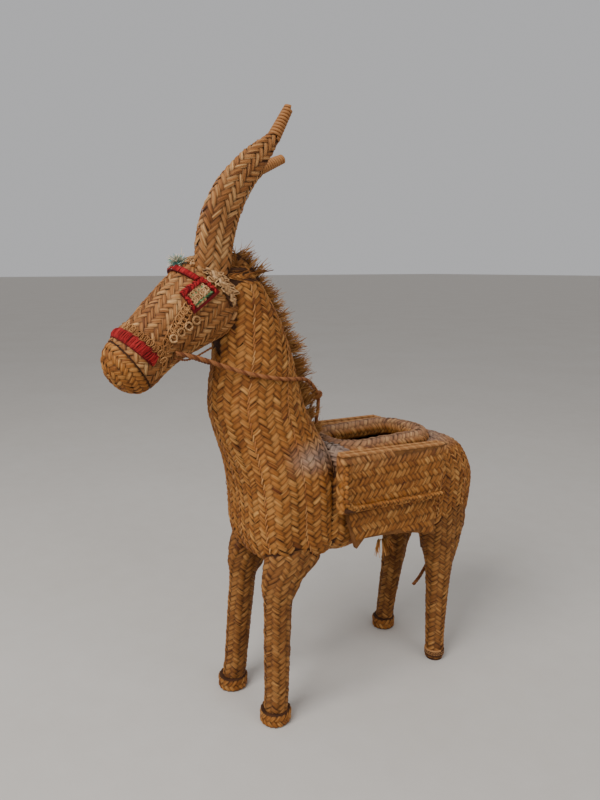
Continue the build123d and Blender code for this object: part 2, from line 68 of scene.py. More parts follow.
def soft_light(name, place, target, size, power):
    data = bpy.data.lights.new(name, "AREA")
    data.size = size
    data.energy = power
    light = bpy.data.objects.new(name, data)
    light.location = place
    light.rotation_euler = (Vector(target) - Vector(place)).to_track_quat("-Z", "Y").to_euler()
    bpy.context.scene.collection.objects.link(light)


soft_light("key_light", (0.6, -2.0, 2.4), (0.0, 0.0, 0.45), 1.6, 75.0)
soft_light("fill_light", (2.6, 0.6, 1.6), (0.0, 0.0, 0.45), 2.0, 22.0)

world = bpy.data.worlds.new("studio")
world.use_nodes = True
world.node_tree.nodes["Background"].inputs["Color"].default_value = (0.50, 0.50, 0.51, 1.0)
world.node_tree.nodes["Background"].inputs["Strength"].default_value = 1.0
bpy.context.scene.world = world


# ------------------------------------------------------------ materials
def srgb(red, green, blue):
    """Linear colour from 0-255 screen values."""
    channels = [value / 255 for value in (red, green, blue)]
    return tuple(c / 12.92 if c <= 0.04045 else ((c + 0.055) / 1.055) ** 2.4 for c in channels)


class Shader:
    """A material's node tree, with short calls for the nodes used here."""

    def __init__(self, name):
        self.material = bpy.data.materials.new(name)
        self.material.use_nodes = True
        self.tree = self.material.node_tree
        self.surface = self.tree.nodes["Principled BSDF"]

    def put(self, socket, value):
        if isinstance(value, bpy.types.NodeSocket):
            self.tree.links.new(value, socket)
        elif isinstance(value, (tuple, list)) and len(value) == 3 and socket.type == "RGBA":
            socket.default_value = (*value, 1.0)
        else:
            socket.default_value = value

    def attribute(self, name):
        node = self.tree.nodes.new("ShaderNodeAttribute")
        node.attribute_name = name
        return node.outputs["Fac"]

    def math(self, operation, first, second):
        node = self.tree.nodes.new("ShaderNodeMath")
        node.operation = operation
        self.put(node.inputs[0], first)
        self.put(node.inputs[1], second)
        return node.outputs[0]

    def vector(self, x, y, z):
        node = self.tree.nodes.new("ShaderNodeCombineXYZ")
        for socket, value in zip(node.inputs, (x, y, z)):
            self.put(socket, value)
        return node.outputs[0]

    def place(self):
        return self.tree.nodes.new("ShaderNodeTexCoord").outputs["Object"]

    def noise(self, vector, scale, detail=3.0):
        node = self.tree.nodes.new("ShaderNodeTexNoise")
        self.put(node.inputs["Vector"], vector)
        node.inputs["Scale"].default_value = scale
        node.inputs["Detail"].default_value = detail
        return node.outputs["Fac"]

    def ramp(self, amount, stops):
        node = self.tree.nodes.new("ShaderNodeValToRGB")
        while len(node.color_ramp.elements) < len(stops):
            node.color_ramp.elements.new(0.5)
        for element, (position, colour) in zip(node.color_ramp.elements, stops):
            element.position = position
            element.color = (*colour, 1.0)
        self.put(node.inputs["Fac"], amount)
        return node.outputs["Color"]

    def mix(self, amount, first, second):
        node = self.tree.nodes.new("ShaderNodeMix")
        node.data_type = "RGBA"
        self.put(node.inputs[0], amount)
        self.put(node.inputs[6], first)
        self.put(node.inputs[7], second)
        return node.outputs[2]

    def finish(self, colour, roughness, height, depth):
        self.put(self.surface.inputs["Base Color"], colour)
        self.put(self.surface.inputs["Roughness"], roughness)
        self.surface.inputs["Specular IOR Level"].default_value = 0.25
        bump = self.tree.nodes.new("ShaderNodeBump")
        bump.inputs["Strength"].default_value = 0.6
        bump.inputs["Distance"].default_value = depth
        self.put(bump.inputs["Height"], height)
        self.put(self.surface.inputs["Normal"], bump.outputs["Normal"])
        return self.material


def strand_material(name, dark, middle, light, worn=(0.45, 0.38, 0.33), roughness=0.62):
    """Dry grass or yarn: streaks run along each strand, and painted shade darkens the tucked ends
    and strand edges.
    """
    shader = Shader(name)
    along = shader.math("MULTIPLY", shader.attribute("along"), 55.0)
    across = shader.math("MULTIPLY", shader.attribute("across"), 2600.0)
    seed = shader.math("MULTIPLY", shader.attribute("tone"), 90.0)
    streak = shader.noise(shader.vector(along, across, seed), 1.0)
    blotch = shader.noise(shader.place(), 9.0)
    tone = shader.math("MULTIPLY", shader.attribute("tone"), 0.8)
    tone = shader.math("ADD", tone, shader.math("MULTIPLY", streak, 0.42))
    tone = shader.math("ADD", tone, shader.math("MULTIPLY", blotch, 0.25))
    tone = shader.math("SUBTRACT", tone, 0.22)
    colour = shader.ramp(tone, [(0.12, dark), (0.5, middle), (0.9, light)])
    worn_tone = shader.ramp(tone, [(0.1, tuple(c * 0.45 for c in worn)), (0.9, worn)])
    colour = shader.mix(shader.attribute("worn"), colour, worn_tone)
    # painted shade: the shade attribute mixes the colour towards near black at tucked ends, strand
    # edges and blade roots
    shade = shader.math("MULTIPLY", shader.attribute("shade"), 0.8)
    colour = shader.mix(shade, colour, (0.02, 0.008, 0.003))
    return shader.finish(colour, roughness, streak, 0.0008)


def mottled_material(name, dark, light, scale, roughness=0.85):
    """Rough matter without strands of its own, such as packed straw, or the dark underlay that
    paints the shade inside the plait.
    """
    shader = Shader(name)
    coarse = shader.noise(shader.place(), scale, 6.0)
    fine = shader.noise(shader.place(), scale * 9, 4.0)
    coarse_part = shader.math("MULTIPLY", coarse, 0.6)
    tone = shader.math("ADD", coarse_part, shader.math("MULTIPLY", fine, 0.4))
    colour = shader.ramp(tone, [(0.3, dark), (0.7, light)])
    return shader.finish(colour, roughness, fine, 0.0015)


def wood_material(name, dark, light):
    shader = Shader(name)
    stretch = shader.tree.nodes.new("ShaderNodeMapping")
    shader.put(stretch.inputs["Vector"], shader.place())
    stretch.inputs["Scale"].default_value = (90.0, 90.0, 6.0)
    grain = shader.noise(stretch.outputs[0], 1.0, 6.0)
    colour = shader.ramp(grain, [(0.3, dark), (0.7, light)])
    return shader.finish(colour, 0.7, grain, 0.001)


STRAW = strand_material("plaited_straw", srgb(92, 42, 10), srgb(158, 98, 38), srgb(204, 150, 84))
HEAD_STRAW = strand_material(
    "head_straw", srgb(84, 40, 14), srgb(156, 100, 50), srgb(204, 160, 106)
)
BROWN_STRAW = strand_material("leg_straw", srgb(80, 38, 12), srgb(140, 88, 38), srgb(184, 132, 72))
# painted shade: dark straw for the surfaces under the plait, standing in for the shade seen in the
# gaps between strands and inside the body
SHADE_UNDERLAY_STRAW = mottled_material("inner_straw_painted_shade", srgb(36, 18, 8), srgb(84, 50, 26), 60.0)
EDGE_STRAW = mottled_material("cut_edge_straw", srgb(78, 44, 18), srgb(142, 94, 48), 90.0)
STUFFING = mottled_material("straw_filling", srgb(90, 58, 26), srgb(170, 130, 80), 120.0)
STITCH = strand_material("stitching", srgb(110, 52, 16), srgb(176, 108, 52), srgb(206, 150, 90))
WOOL = strand_material(
    "red_wool", srgb(84, 4, 8), srgb(150, 18, 24), srgb(186, 48, 46), roughness=0.9
)
LACE = strand_material("pale_lace", srgb(110, 72, 40), srgb(176, 132, 86), srgb(218, 178, 130))
BROWN_LACE = strand_material(
    "brown_lace", srgb(92, 50, 20), srgb(158, 106, 58), srgb(200, 150, 98)
)
GREEN = strand_material("green_thread", srgb(30, 62, 34), srgb(62, 112, 66), srgb(120, 156, 104))
CREAM = strand_material("cream_wool", srgb(150, 120, 88), srgb(206, 182, 150), srgb(232, 216, 190))
CORD = strand_material("twisted_cord", srgb(84, 42, 16), srgb(152, 100, 54), srgb(200, 150, 96))
REIN = strand_material("rein_cord", srgb(64, 28, 12), srgb(124, 70, 36), srgb(172, 116, 70))
STICK = wood_material("stick_wood", srgb(86, 58, 34), srgb(150, 112, 72))

floor_mesh = bpy.data.meshes.new("floor")
FLOOR_REACH = 60.0
floor_mesh.from_pydata(
    [(x * FLOOR_REACH, y * FLOOR_REACH, 0.0) for x, y in ((-1, -1), (1, -1), (1, 1), (-1, 1))],
    [], [(0, 1, 2, 3)],
)
floor = bpy.data.objects.new("floor", floor_mesh)
bpy.context.scene.collection.objects.link(floor)
FLOOR_LOOK = mottled_material("floor", srgb(196, 190, 182), srgb(202, 197, 190), 2.0)
floor_mesh.materials.append(FLOOR_LOOK)


# ------------------------------------------------------------ meshes in the making
class Cloth:
    """Collects strands and surfaces, and turns them into one piece."""

    def __init__(self):
        self.points = []
        self.faces = []
        self.slots = []
        self.facts = {"tone": [], "along": [], "across": [], "shade": [], "worn": []}
        self.materials = []
        self.count = 0

    def add(self, points, faces, material, **facts):
        """points (n, 3), faces (m, 4) or (m, 3) as numbers of those points."""
        if len(points) == 0:
            return
        if material not in self.materials:
            self.materials.append(material)
        self.points.append(points)
        self.faces.append(faces + self.count)
        self.slots.append(np.full(len(faces), self.materials.index(material)))
        for name, values in self.facts.items():
            values.append(np.broadcast_to(facts.get(name, 0.0), len(points)).astype(float))
        self.count += len(points)

    def finish(self, name, slot, *nodes):
        """Makes the object, which replaces the CAD nodes named after slot; slot itself is not used.
        """
        mesh = bpy.data.meshes.new(name)
        corners = np.concatenate(self.points)
        loops = np.concatenate([faces.ravel() for faces in self.faces])
        sizes = np.concatenate([np.full(len(faces), faces.shape[1]) for faces in self.faces])
        mesh.vertices.add(len(corners))
        mesh.vertices.foreach_set("co", corners.ravel())
        mesh.loops.add(len(loops))
        mesh.loops.foreach_set("vertex_index", loops)
        mesh.polygons.add(len(sizes))
        mesh.polygons.foreach_set("loop_start", np.concatenate([[0], np.cumsum(sizes)[:-1]]))
        mesh.polygons.foreach_set("loop_total", sizes)
        mesh.polygons.foreach_set("material_index", np.concatenate(self.slots))
        mesh.update(calc_edges=True)
        for fact, values in self.facts.items():
            layer = mesh.attributes.new(fact, "FLOAT", "POINT")
            layer.data.foreach_set("value", np.concatenate(values))
        for material in self.materials:
            mesh.materials.append(material)
        mesh.shade_smooth()
        piece = bpy.data.objects.new(name, mesh)
        bpy.context.scene.collection.objects.link(piece)
        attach(piece, "root")
        if nodes:
            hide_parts(*nodes)
        return piece


def node_mesh(node):
    """Corners and triangles of a CAD node in the row frame."""
    obj = NODES[node]
    mesh = obj.data
    mesh.calc_loop_triangles()
    corners = np.empty(len(mesh.vertices) * 3)
    mesh.vertices.foreach_get("co", corners)
    matrix = np.array(obj.matrix_world)
    corners = corners.reshape(-1, 3) @ matrix[:3, :3].T + matrix[:3, 3]
    triangles = np.empty(len(mesh.loop_triangles) * 3, dtype=int)
    mesh.loop_triangles.foreach_get("vertices", triangles)
    return corners, triangles.reshape(-1, 3)


def box_corners(node):
    """Low and high corner of a node's box, and its middle."""
    low, high = (np.array(corner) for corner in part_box(node))
    return low, high, (low + high) / 2


def backing(cloth, node, material=SHADE_UNDERLAY_STRAW):
    """The node's own surface, under the strands; by default in dark straw that paints the shade
    between and under them.
    """
    corners, triangles = node_mesh(node)
    cloth.add(corners, triangles, material)


TREES = {}


def tree(node):
    if node not in TREES:
        corners, triangles = node_mesh(node)
        TREES[node] = BVHTree.FromPolygons(corners.tolist(), triangles.tolist())
    return TREES[node]


# ------------------------------------------------------------ skins
STEP = 0.004           # spacing of the grid across the columns
GROWTH = 10            # rings of empty cells round a flat skin that take their neighbours' place
EDGE_CELLS = 1.2       # strands may run this many cells past the edge, and bunch up there
HIDDEN_REACH = 0.05    # how far out another node is looked for over a skin
FAR = 0.35             # rays start this far from the middle of a piece


class Skin:
    """A surface as a grid: rows are places along the columns, columns are places across."""

    def __init__(self, rows, across, points, normals, shown, unit=None, strict=False):
        self.least_shown = 0.999 if strict else 0.6
        self.rows = rows
        self.across = across
        self.points = points
        self.normals = normals
        self.shown = shown
        self.unit = np.ones(len(across)) if unit is None else unit

    def turned(self):
        """The same skin with its columns running the other way."""
        return Skin(
            self.across, self.rows, self.points.transpose(1, 0, 2),
            self.normals.transpose(1, 0, 2), self.shown.T, strict=self.least_shown > 0.9,
        )

    def at(self, row, across):
        """Points, normals and whether shown, at places between the grid's own."""
        i = (row - self.rows[0]) / (self.rows[1] - self.rows[0])
        j = (across - self.across[0]) / (self.across[1] - self.across[0])
        inside = ((i > -EDGE_CELLS) & (i < len(self.rows) - 1 + EDGE_CELLS)
                  & (j > -EDGE_CELLS) & (j < len(self.across) - 1 + EDGE_CELLS))
        i = np.clip(i, 0, len(self.rows) - 1.001)
        j = np.clip(j, 0, len(self.across) - 1.001)
        i0 = i.astype(int)
        j0 = j.astype(int)
        fi = (i - i0)[..., None]
        fj = (j - j0)[..., None]

        def between(grid):
            low = grid[i0, j0] * (1 - fj) + grid[i0, j0 + 1] * fj
            high = grid[i0 + 1, j0] * (1 - fj) + grid[i0 + 1, j0 + 1] * fj
            return low * (1 - fi) + high * fi

        shown = between(self.shown[..., None].astype(float))[..., 0] > self.least_shown
        normals = between(self.normals)
        normals /= np.maximum(np.linalg.norm(normals, axis=-1, keepdims=True), 1e-9)
        return between(self.points), normals, shown & inside


def smoothed(grid):
    """Each normal averaged with its neighbours."""
    padded = np.pad(grid, ((1, 1), (1, 1), (0, 0)), mode="edge")
    total = sum(
        padded[1 + di:padded.shape[0] - 1 + di, 1 + dj:padded.shape[1] - 1 + dj]
        for di in (-1, 0, 1) for dj in (-1, 0, 1)
    )
    return total / np.maximum(np.linalg.norm(total, axis=-1, keepdims=True), 1e-9)


def uncovered(points, normals, covers, reach=HIDDEN_REACH):
    """False where one of the covering nodes lies over the point."""
    clear = np.ones(points.shape[:-1], dtype=bool)
    for index in np.ndindex(clear.shape):
        point = Vector(points[index])
        outward = Vector(normals[index])
        for cover in covers:
            hit = tree(cover).ray_cast(point + outward * reach, -outward, reach - 0.001)
            if hit[0] is not None:
                clear[index] = False
                break
    return clear


def wrapped_skin(node, rows, rays, middle, covers=(), limit=FAR):
    """Skin from rays: rays(row) lists (start, way); across is measured from ray number middle.

    A ray that meets nothing before the limit takes its depth from the rays beside it, and that
    place stays bare.
    """
    lines = []
    for row in rows:
        cast = rays(row)
        found = [tree(node).ray_cast(start, way, limit) for start, way in cast]
        met = np.array([hit[0] is not None for hit in found])
        starts = np.array([start for start, way in cast])
        ways = np.array([way for start, way in cast])
        if met.sum() < 3:
            lines.append(None)
            continue
        depths = np.array([hit[3] if hit[0] is not None else 0.0 for hit in found])
        normals = np.array([hit[1] if hit[0] is not None else (0.0, 0.0, 0.0) for hit in found])
        number = np.arange(len(cast))
        depths = np.interp(number, number[met], depths[met])
        for axis in range(3):
            normals[:, axis] = np.interp(number, number[met], normals[met, axis])
        points = starts + ways * depths[:, None]
        flip = np.where((normals * ways).sum(axis=1, keepdims=True) > 0, -1.0, 1.0)
        steps = np.linalg.norm(np.diff(points, axis=0), axis=1)
        travel = np.concatenate([[0.0], np.cumsum(steps)])
        lines.append((travel - travel[middle], points, normals * flip, met))
    low = min(line[0][0] for line in lines if line)
    high = max(line[0][-1] for line in lines if line)
    across = np.arange(math.floor(low / STEP), math.ceil(high / STEP) + 1) * STEP
    points = np.zeros((len(rows), len(across), 3))
    normals = np.zeros_like(points)
    shown = np.zeros((len(rows), len(across)), dtype=bool)
    for i, line in enumerate(lines):
        bare = line is None
        if bare:
            near = min((k for k in range(len(lines)) if lines[k]), key=lambda k: abs(k - i))
            line = lines[near]
        travel, spots, outward, met = line
        for axis in range(3):
            points[i, :, axis] = np.interp(across, travel, spots[:, axis])
            normals[i, :, axis] = np.interp(across, travel, outward[:, axis])
        if not bare:
            shown[i] = np.interp(across, travel, met.astype(float)) > 0.5
            shown[i] &= (across >= travel[0]) & (across <= travel[-1])
    normals = smoothed(smoothed(normals))
    shown &= uncovered(points, normals, covers)
    return Skin(np.asarray(rows), across, points, normals, shown)


def flat_skin(node, rows, across, ray, covers=()):
    """Skin from parallel rays: ray(row, across) gives (start, way)."""
    points = np.zeros((len(rows), len(across), 3))
    normals = np.zeros_like(points)
    shown = np.zeros((len(rows), len(across)), dtype=bool)
    for i, row in enumerate(rows):
        for j, place in enumerate(across):
            start, way = ray(row, place)
            hit = tree(node).ray_cast(Vector(start), Vector(way))
            if hit[0] is not None:
                points[i, j] = hit[0]
                normals[i, j] = hit[1]
                shown[i, j] = True
    filled = shown.copy()
    for _ in range(GROWTH):
        grown_points = np.pad(points * filled[..., None], ((1, 1), (1, 1), (0, 0)))
        grown_normals = np.pad(normals * filled[..., None], ((1, 1), (1, 1), (0, 0)))
        weight = np.pad(filled.astype(float), 1)
        near = ((0, 1), (2, 1), (1, 0), (1, 2))
        height, width = filled.shape
        total = sum(weight[a:a + height, b:b + width] for a, b in near)
        new = ~filled & (total > 0)
        for grid, grown in ((points, grown_points), (normals, grown_normals)):
            mean = sum(grown[a:a + height, b:b + width] for a, b in near)
            grid[new] = (mean / np.maximum(total, 1)[..., None])[new]
        filled |= new
    normals = smoothed(normals)
    shown &= uncovered(points, normals, covers)
    return Skin(np.asarray(rows), np.asarray(across), points, normals, shown, strict=True)


def side_ray(side):
    """Level rays at the left (1) or right (-1) side, for flat_skin with heights as its rows."""
    return lambda height, y: (Vector((side * FAR, y, height)), Vector((-side, 0, 0)))


def drop_ray(height):
    """Rays straight down from a height, given a place across and a place along the body."""
    return lambda x, y: (Vector((x, y, height)), Vector((0, 0, -1)))


def round_rays(centre, u, v, count, start=0.0):
    """Rays towards a centre from all round it, in the plane of u and v, from angle start."""
    centre, u, v = Vector(centre), Vector(u), Vector(v)
    rays = []
    for k in range(count + 1):
        angle = start + 2 * math.pi * (k / count - 0.5)
        outward = u * math.cos(angle) + v * math.sin(angle)
        rays.append((centre + outward * FAR, -outward))
    return rays


# ------------------------------------------------------------ plaiting
FIBRES = 4             # grass blades side by side in one strand
LENGTHWISE = 5         # points along a strand
LEAN_SPREAD = 0.04     # how unevenly the strands lean
FIBRE_SPACING = 1.02   # fibres lie this many of their widths apart
FIBRE_EDGE = 0.56      # from the middle of a fibre to its edge, in fibre widths
EDGE_DIP = 0.42        # how far a fibre's edges dip, in fibre widths
KEPT_SHARE = 0.6       # a strand is left out when less of it lies on shown skin


def strands(cloth, skin, rng, material, places, slants, length, width, lift,
            fibres=FIBRES, worn=None, painted_end_shade=1.0, tone_range=(0.3, 0.68)):
    """Lays strands on a skin. places (n, 2) are (row, across), slants are angles from across."""
    count = len(places)
    if count == 0:
        return
    slants = slants + rng.normal(0.0, LEAN_SPREAD, count)
    length = np.broadcast_to(length, count)[:, None, None, None]
    widths = width * rng.uniform(0.9, 1.1, count)
    heights = lift * rng.uniform(0.8, 1.15, count)
    tones = rng.uniform(*tone_range, count)
    along = np.linspace(-1.0, 1.0, LENGTHWISE)
    edge = np.array([-1.0, 0.0, 1.0])
    fibre = np.arange(fibres) - (fibres - 1) / 2
    # axes: strand, fibre, along, edge
    a = along[None, None, :, None]
    fibre_width = widths[:, None, None, None] / fibres
    wander = rng.normal(0.0, 0.10, (count, fibres, 1, 1)) * fibre_width
    bow = rng.normal(0.0, 0.05, (count, 1, 1, 1)) * length
    reach = length / 2 * rng.uniform(0.93, 1.07, (count, fibres, 1, 1))
    offset = (fibre[None, :, None, None] * fibre_width * FIBRE_SPACING
              + edge[None, None, None, :] * fibre_width * FIBRE_EDGE
              + wander * a + bow * (1 - a ** 2) * 0.5)
    place = a * reach + 0 * offset
    cosine = np.cos(slants)[:, None, None, None]
    sine = np.sin(slants)[:, None, None, None]
    across = places[:, 1, None, None, None] + place * cosine - offset * sine
    unit = np.interp(places[:, 1], skin.across, skin.unit)[:, None, None, None]
    row = places[:, 0, None, None, None] + (place * sine + offset * cosine) / unit
    rise = heights[:, None, None, None] * (1 - 0.9 * np.abs(a) ** 3)
    crown = 1 - 0.32 * (2 * fibre / fibres) ** 2
    rise = rise * crown[None, :, None, None]
    rise = rise * rng.uniform(0.88, 1.1, (count, fibres, 1, 1))
    rise = rise - np.abs(edge)[None, None, None, :] * fibre_width * EDGE_DIP
    points, normals, shown = skin.at(row, across)
    kept = shown[:, :, 1:-1, :].mean(axis=(1, 2, 3)) > KEPT_SHARE
    points = points + normals * rise[..., None]
    tone = tones[:, None, None, None] + rng.normal(0.0, 0.12, (count, fibres, 1, 1)) + 0 * offset
    # painted shade: darker towards both tucked ends of a strand, along its outer edges and at each
    # fibre's edges, standing in for the shade of the plait's own relief
    beside = np.abs(offset - bow * (1 - a ** 2) * 0.5) / (widths[:, None, None, None] / 2)
    shade = (painted_end_shade * np.clip(np.abs(a) - 0.5, 0, 1) * 1.5 + 0.6 * np.clip(beside, 0, 1.1) ** 4
             + 0.08 * np.abs(edge))
    rub = np.zeros(offset.shape) if worn is None else worn(points, normals)
    facts = {
        "tone": np.clip(tone, 0, 1), "shade": np.clip(shade, 0, 1), "worn": rub,
        "along": place + tones[:, None, None, None], "across": offset,
    }
    keep = np.nonzero(kept)[0]
    points = points[keep]
    facts = {
        name: np.broadcast_to(values, offset.shape)[keep].ravel() for name, values in facts.items()
    }
    quads = []
    for k in range(LENGTHWISE - 1):
        for m in range(2):
            here = k * 3 + m
            quads.append((here, here + 1, here + 4, here + 3))
    quads = np.array(quads)
    bundles = np.arange(len(keep) * fibres) * (LENGTHWISE * 3)
    faces = (bundles[:, None, None] + quads[None]).reshape(-1, 4)
    cloth.add(points.reshape(-1, 3), faces, material, **facts)


def plait(cloth, skin, seed, material=STRAW, column=0.0135, pitch=0.0100, lift=0.0032,
          worn=None, seam_every=0, fibres=FIBRES, first=0.0, stitch=STITCH, slant=0.68):
    """Herringbone plait: columns of slanting strands that lean opposite ways by turns.

    A row of stitches shows after every so many columns, where strips are sewn together.
    """
    rng = np.random.default_rng(seed)
    low = math.floor((skin.across[0] - first) / column)
    high = math.ceil((skin.across[-1] - first) / column)
    places = []
    slants = []
    seams = []
    for k in range(low, high):
        across = first + (k + 0.5) * column
        unit = float(np.interp(across, skin.across, skin.unit))
        step = pitch / unit
        offset = 0.5 * step if k % 2 else 0.0
        rows = np.arange(skin.rows[0] - 0.3 * step + offset, skin.rows[-1] + 0.5 * step, step)
        for row in rows:
            places.append((row, across))
            slants.append(slant if k % 2 else math.pi - slant)
        if seam_every and k % seam_every == 0:
            seams += [(row, first + k * column) for row in rows]
    places = np.array(places)
    places = places + rng.normal(0.0, 0.0004, places.shape) * np.array([0.5, 1.0])
    strands(cloth, skin, rng, material, places, np.array(slants),
            column * 1.2 / math.cos(slant), pitch * 1.03 * math.cos(slant), lift,
            fibres=fibres, worn=worn)
    if seams:
        seams = np.array(seams)
        strands(cloth, skin, rng, stitch, seams, np.full(len(seams), 1.25), pitch * 1.6, 0.0024,
                lift * 1.25, fibres=1, worn=worn, painted_end_shade=0.3, tone_range=(0.3, 0.9))


def plaited(name, slot, node, skin, seed, material=STRAW, under=SHADE_UNDERLAY_STRAW, **details):
    """A whole piece that replaces a node: the node's surface with plait laid on it."""
    cloth = Cloth()
    backing(cloth, node, under)
    plait(cloth, skin, seed, material, **details)
    return cloth.finish(name, slot, node)


def worn_above(height, span, strength):
    """Bleached and dusty where the surface is high and faces up."""
    def worn(points, normals):
        high = np.clip((points[..., 2] - height) / span, 0, 1)
        return strength * high * np.clip(0.35 + normals[..., 2], 0, 1)
    return worn


# ------------------------------------------------------------ neck and chest
def profile_centre(node, height, guess):
    """Middle of a node's outline at a height, found by rays from four sides."""
    x, y = guess
    for _ in range(2):
        spots = []
        for way in ((1, 0), (-1, 0), (0, 1), (0, -1)):
            start = Vector((x - way[0] * FAR, y - way[1] * FAR, height))
            spots.append(tree(node).ray_cast(start, Vector((way[0], way[1], 0)), FAR)[0])
        if spots[0] is not None and spots[1] is not None:
            x = (spots[0].x + spots[1].x) / 2
        if spots[2] is not None and spots[3] is not None:
            y = (spots[2].y + spots[3].y) / 2
    return x, y


def upright_skin(node, low, high, guess, toward, covers, count=96, spacing=0.006):
    """Skin round an upright piece; across is 0 on the side that faces the angle toward."""
    heights = np.arange(low, high, spacing)
    centres = {}
    for height in heights:
        guess = profile_centre(node, height, guess)
        centres[height] = guess

    def rays(height):
        x, y = centres[height]
        return round_rays((x, y, height), (1, 0, 0), (0, 1, 0), count, toward)

    return wrapped_skin(node, heights, rays, count // 2, covers)


def worn_withers(points, normals):
    """Grey wear in a band round the root of the neck, behind the chest."""
    near_band = np.clip(1 - np.abs(points[..., 2] - 0.462) / 0.03, 0, 1)
    return 0.55 * near_band * np.clip((points[..., 1] + 0.11) / 0.04, 0, 1)


STRIP = 5              # columns of plait in one sewn strip of the body
neck_low, neck_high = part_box("neck_shell")
neck_skin = upright_skin(
    "neck_shell", neck_low[2] + 0.004, neck_high[2] - 0.003, (0.0, -0.066), -math.pi / 2,
    ("barrel_shell", "head_shell", "leg_front_left", "leg_front_right"),
)
neck = Cloth()
backing(neck, "neck_shell")
plait(neck, neck_skin, 11, worn=worn_withers, seam_every=STRIP)
crown_skin = flat_skin(
    "neck_shell", np.arange(-0.205, -0.095, 0.004), np.arange(-0.040, 0.0401, 0.004),
    lambda y, x: (Vector((x, y, neck_high[2] + FAR)), Vector((0, 0, -1))), ("head_shell",),
)
crown_skin.shown &= crown_skin.normals[..., 2] > 0.7
plait(neck, crown_skin, 13)
neck.finish("neck_and_chest", "body_plait", "neck_shell")

# ------------------------------------------------------------ barrel
BARREL_MIDDLE = 0.365  # height that the rays over the barrel are aimed at
FAN_CENTRE_Y = 0.268
barrel_low, barrel_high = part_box("barrel_shell")
side_length = FAN_CENTRE_Y - barrel_low[1] - 0.004
FAN_RADIUS = 0.09      # the columns fan out round the rump from an upright line
FAN_LENGTH = math.pi * FAN_RADIUS


def barrel_station(travel):
    """Foot and outward way of the upright plane at a distance along the side, rump and side."""
    if travel < side_length:
        return (0.0, FAN_CENTRE_Y - side_length + travel), (1.0, 0.0)
    if travel > side_length + FAN_LENGTH:
        return (0.0, FAN_CENTRE_Y - (travel - side_length - FAN_LENGTH)), (-1.0, 0.0)
    angle = (travel - side_length) / FAN_RADIUS
    return (0.0, FAN_CENTRE_Y), (math.cos(angle), math.sin(angle))


ROUND_TOP = math.radians(62)
ROUND_BOTTOM = math.radians(-80)


def barrel_rays(travel):
    (x, y), (way_x, way_y) = barrel_station(travel)
    rays = []
    for k in range(49):
        angle = ROUND_TOP + (ROUND_BOTTOM - ROUND_TOP) * k / 48
        outward = Vector((way_x * math.cos(angle), way_y * math.cos(angle), math.sin(angle)))
        rays.append((Vector((x, y, BARREL_MIDDLE)) + outward * FAR, -outward))
    return rays


level_ray = round(48 * ROUND_TOP / (ROUND_TOP - ROUND_BOTTOM))
barrel_skin = wrapped_skin(
    "barrel_shell", np.arange(0.0, 2 * side_length + FAN_LENGTH, 0.006), barrel_rays, level_ray,
    ("neck_shell", "leg_front_left", "leg_front_right", "leg_hind_left", "leg_hind_right"),
).turned()
barrel = Cloth()
backing(barrel, "barrel_shell")
BACK_WEAR = worn_above(0.425, 0.04, 0.75)
plait(barrel, barrel_skin, 12, worn=BACK_WEAR, seam_every=STRIP)
RIM_REACH = 0.078      # half width of the flat back that the top plait covers
for seed, front, rear in ((14, barrel_low[1], 0.045), (15, 0.205, 0.335)):
    top_skin = flat_skin(
        "barrel_shell", np.arange(-RIM_REACH, RIM_REACH, 0.004), np.arange(front, rear, 0.004),
        drop_ray(barrel_high[2] + 0.02), ("neck_shell",),
    )
    top_skin.shown &= top_skin.normals[..., 2] > 0.75
    plait(barrel, top_skin, seed, worn=BACK_WEAR)
barrel.finish("barrel", "body_plait", "barrel_shell")

# ------------------------------------------------------------ legs
LEG_COLUMN = 0.0125
# leg, angle that its middle column faces, seed
for leg, toward, seed in (("front_left", -1.0, 132), ("front_right", -0.9, 133),
                          ("hind_left", -0.8, 133), ("hind_right", -1.1, 134)):
    node = "leg_" + leg
    low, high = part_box(node)
    corners, triangles = node_mesh(node)
    foot = corners[corners[:, 2] < low[2] + 0.004].mean(axis=0)
    skin = upright_skin(
        node, low[2] + 0.004, high[2], (foot[0], foot[1]), toward,
        ("neck_shell", "barrel_shell"), count=64,
    )
    plaited("leg_plait_" + leg, "body_plait", node, skin, seed, BROWN_STRAW, column=LEG_COLUMN,
            pitch=0.0096, lift=0.0029)

# ------------------------------------------------------------ head
HEAD_DROP = math.radians(35.0)
HEAD_ALONG = Vector((0.0, math.cos(HEAD_DROP), math.sin(HEAD_DROP)))
HEAD_UP = Vector((0.0, -math.sin(HEAD_DROP), math.cos(HEAD_DROP)))
NOSE = Vector((0.0, -0.351, 0.606))
HEAD_COLUMN = 0.0115


def head_rays(back):
    centre = NOSE + HEAD_ALONG * back + HEAD_UP * 0.003
    return round_rays(centre, HEAD_UP, (1, 0, 0), 80)


head_skin = wrapped_skin(
    "head_shell", np.arange(0.0345, 0.222, 0.005), head_rays, 40, ("neck_shell",)
)
plaited("head_plait", "body_plait", "head_shell", head_skin, 31, HEAD_STRAW, column=HEAD_COLUMN,
        pitch=0.0086, lift=0.0027, slant=0.8)
CAP_BACK = 0.0325      # the muzzle cap's rays start this far behind the nose


def muzzle_rays(turn):
    """Rays over the cap from its rear edge to the tip, at one angle round the axis."""
    centre = NOSE + HEAD_ALONG * CAP_BACK
    side = HEAD_UP * math.cos(turn) + Vector((1, 0, 0)) * math.sin(turn)
    rays = []
    for k in range(25):
        angle = math.pi / 2 * k / 24
        outward = side * math.cos(angle) - HEAD_ALONG * math.sin(angle)
        rays.append((centre + outward * FAR, -outward))
    return rays


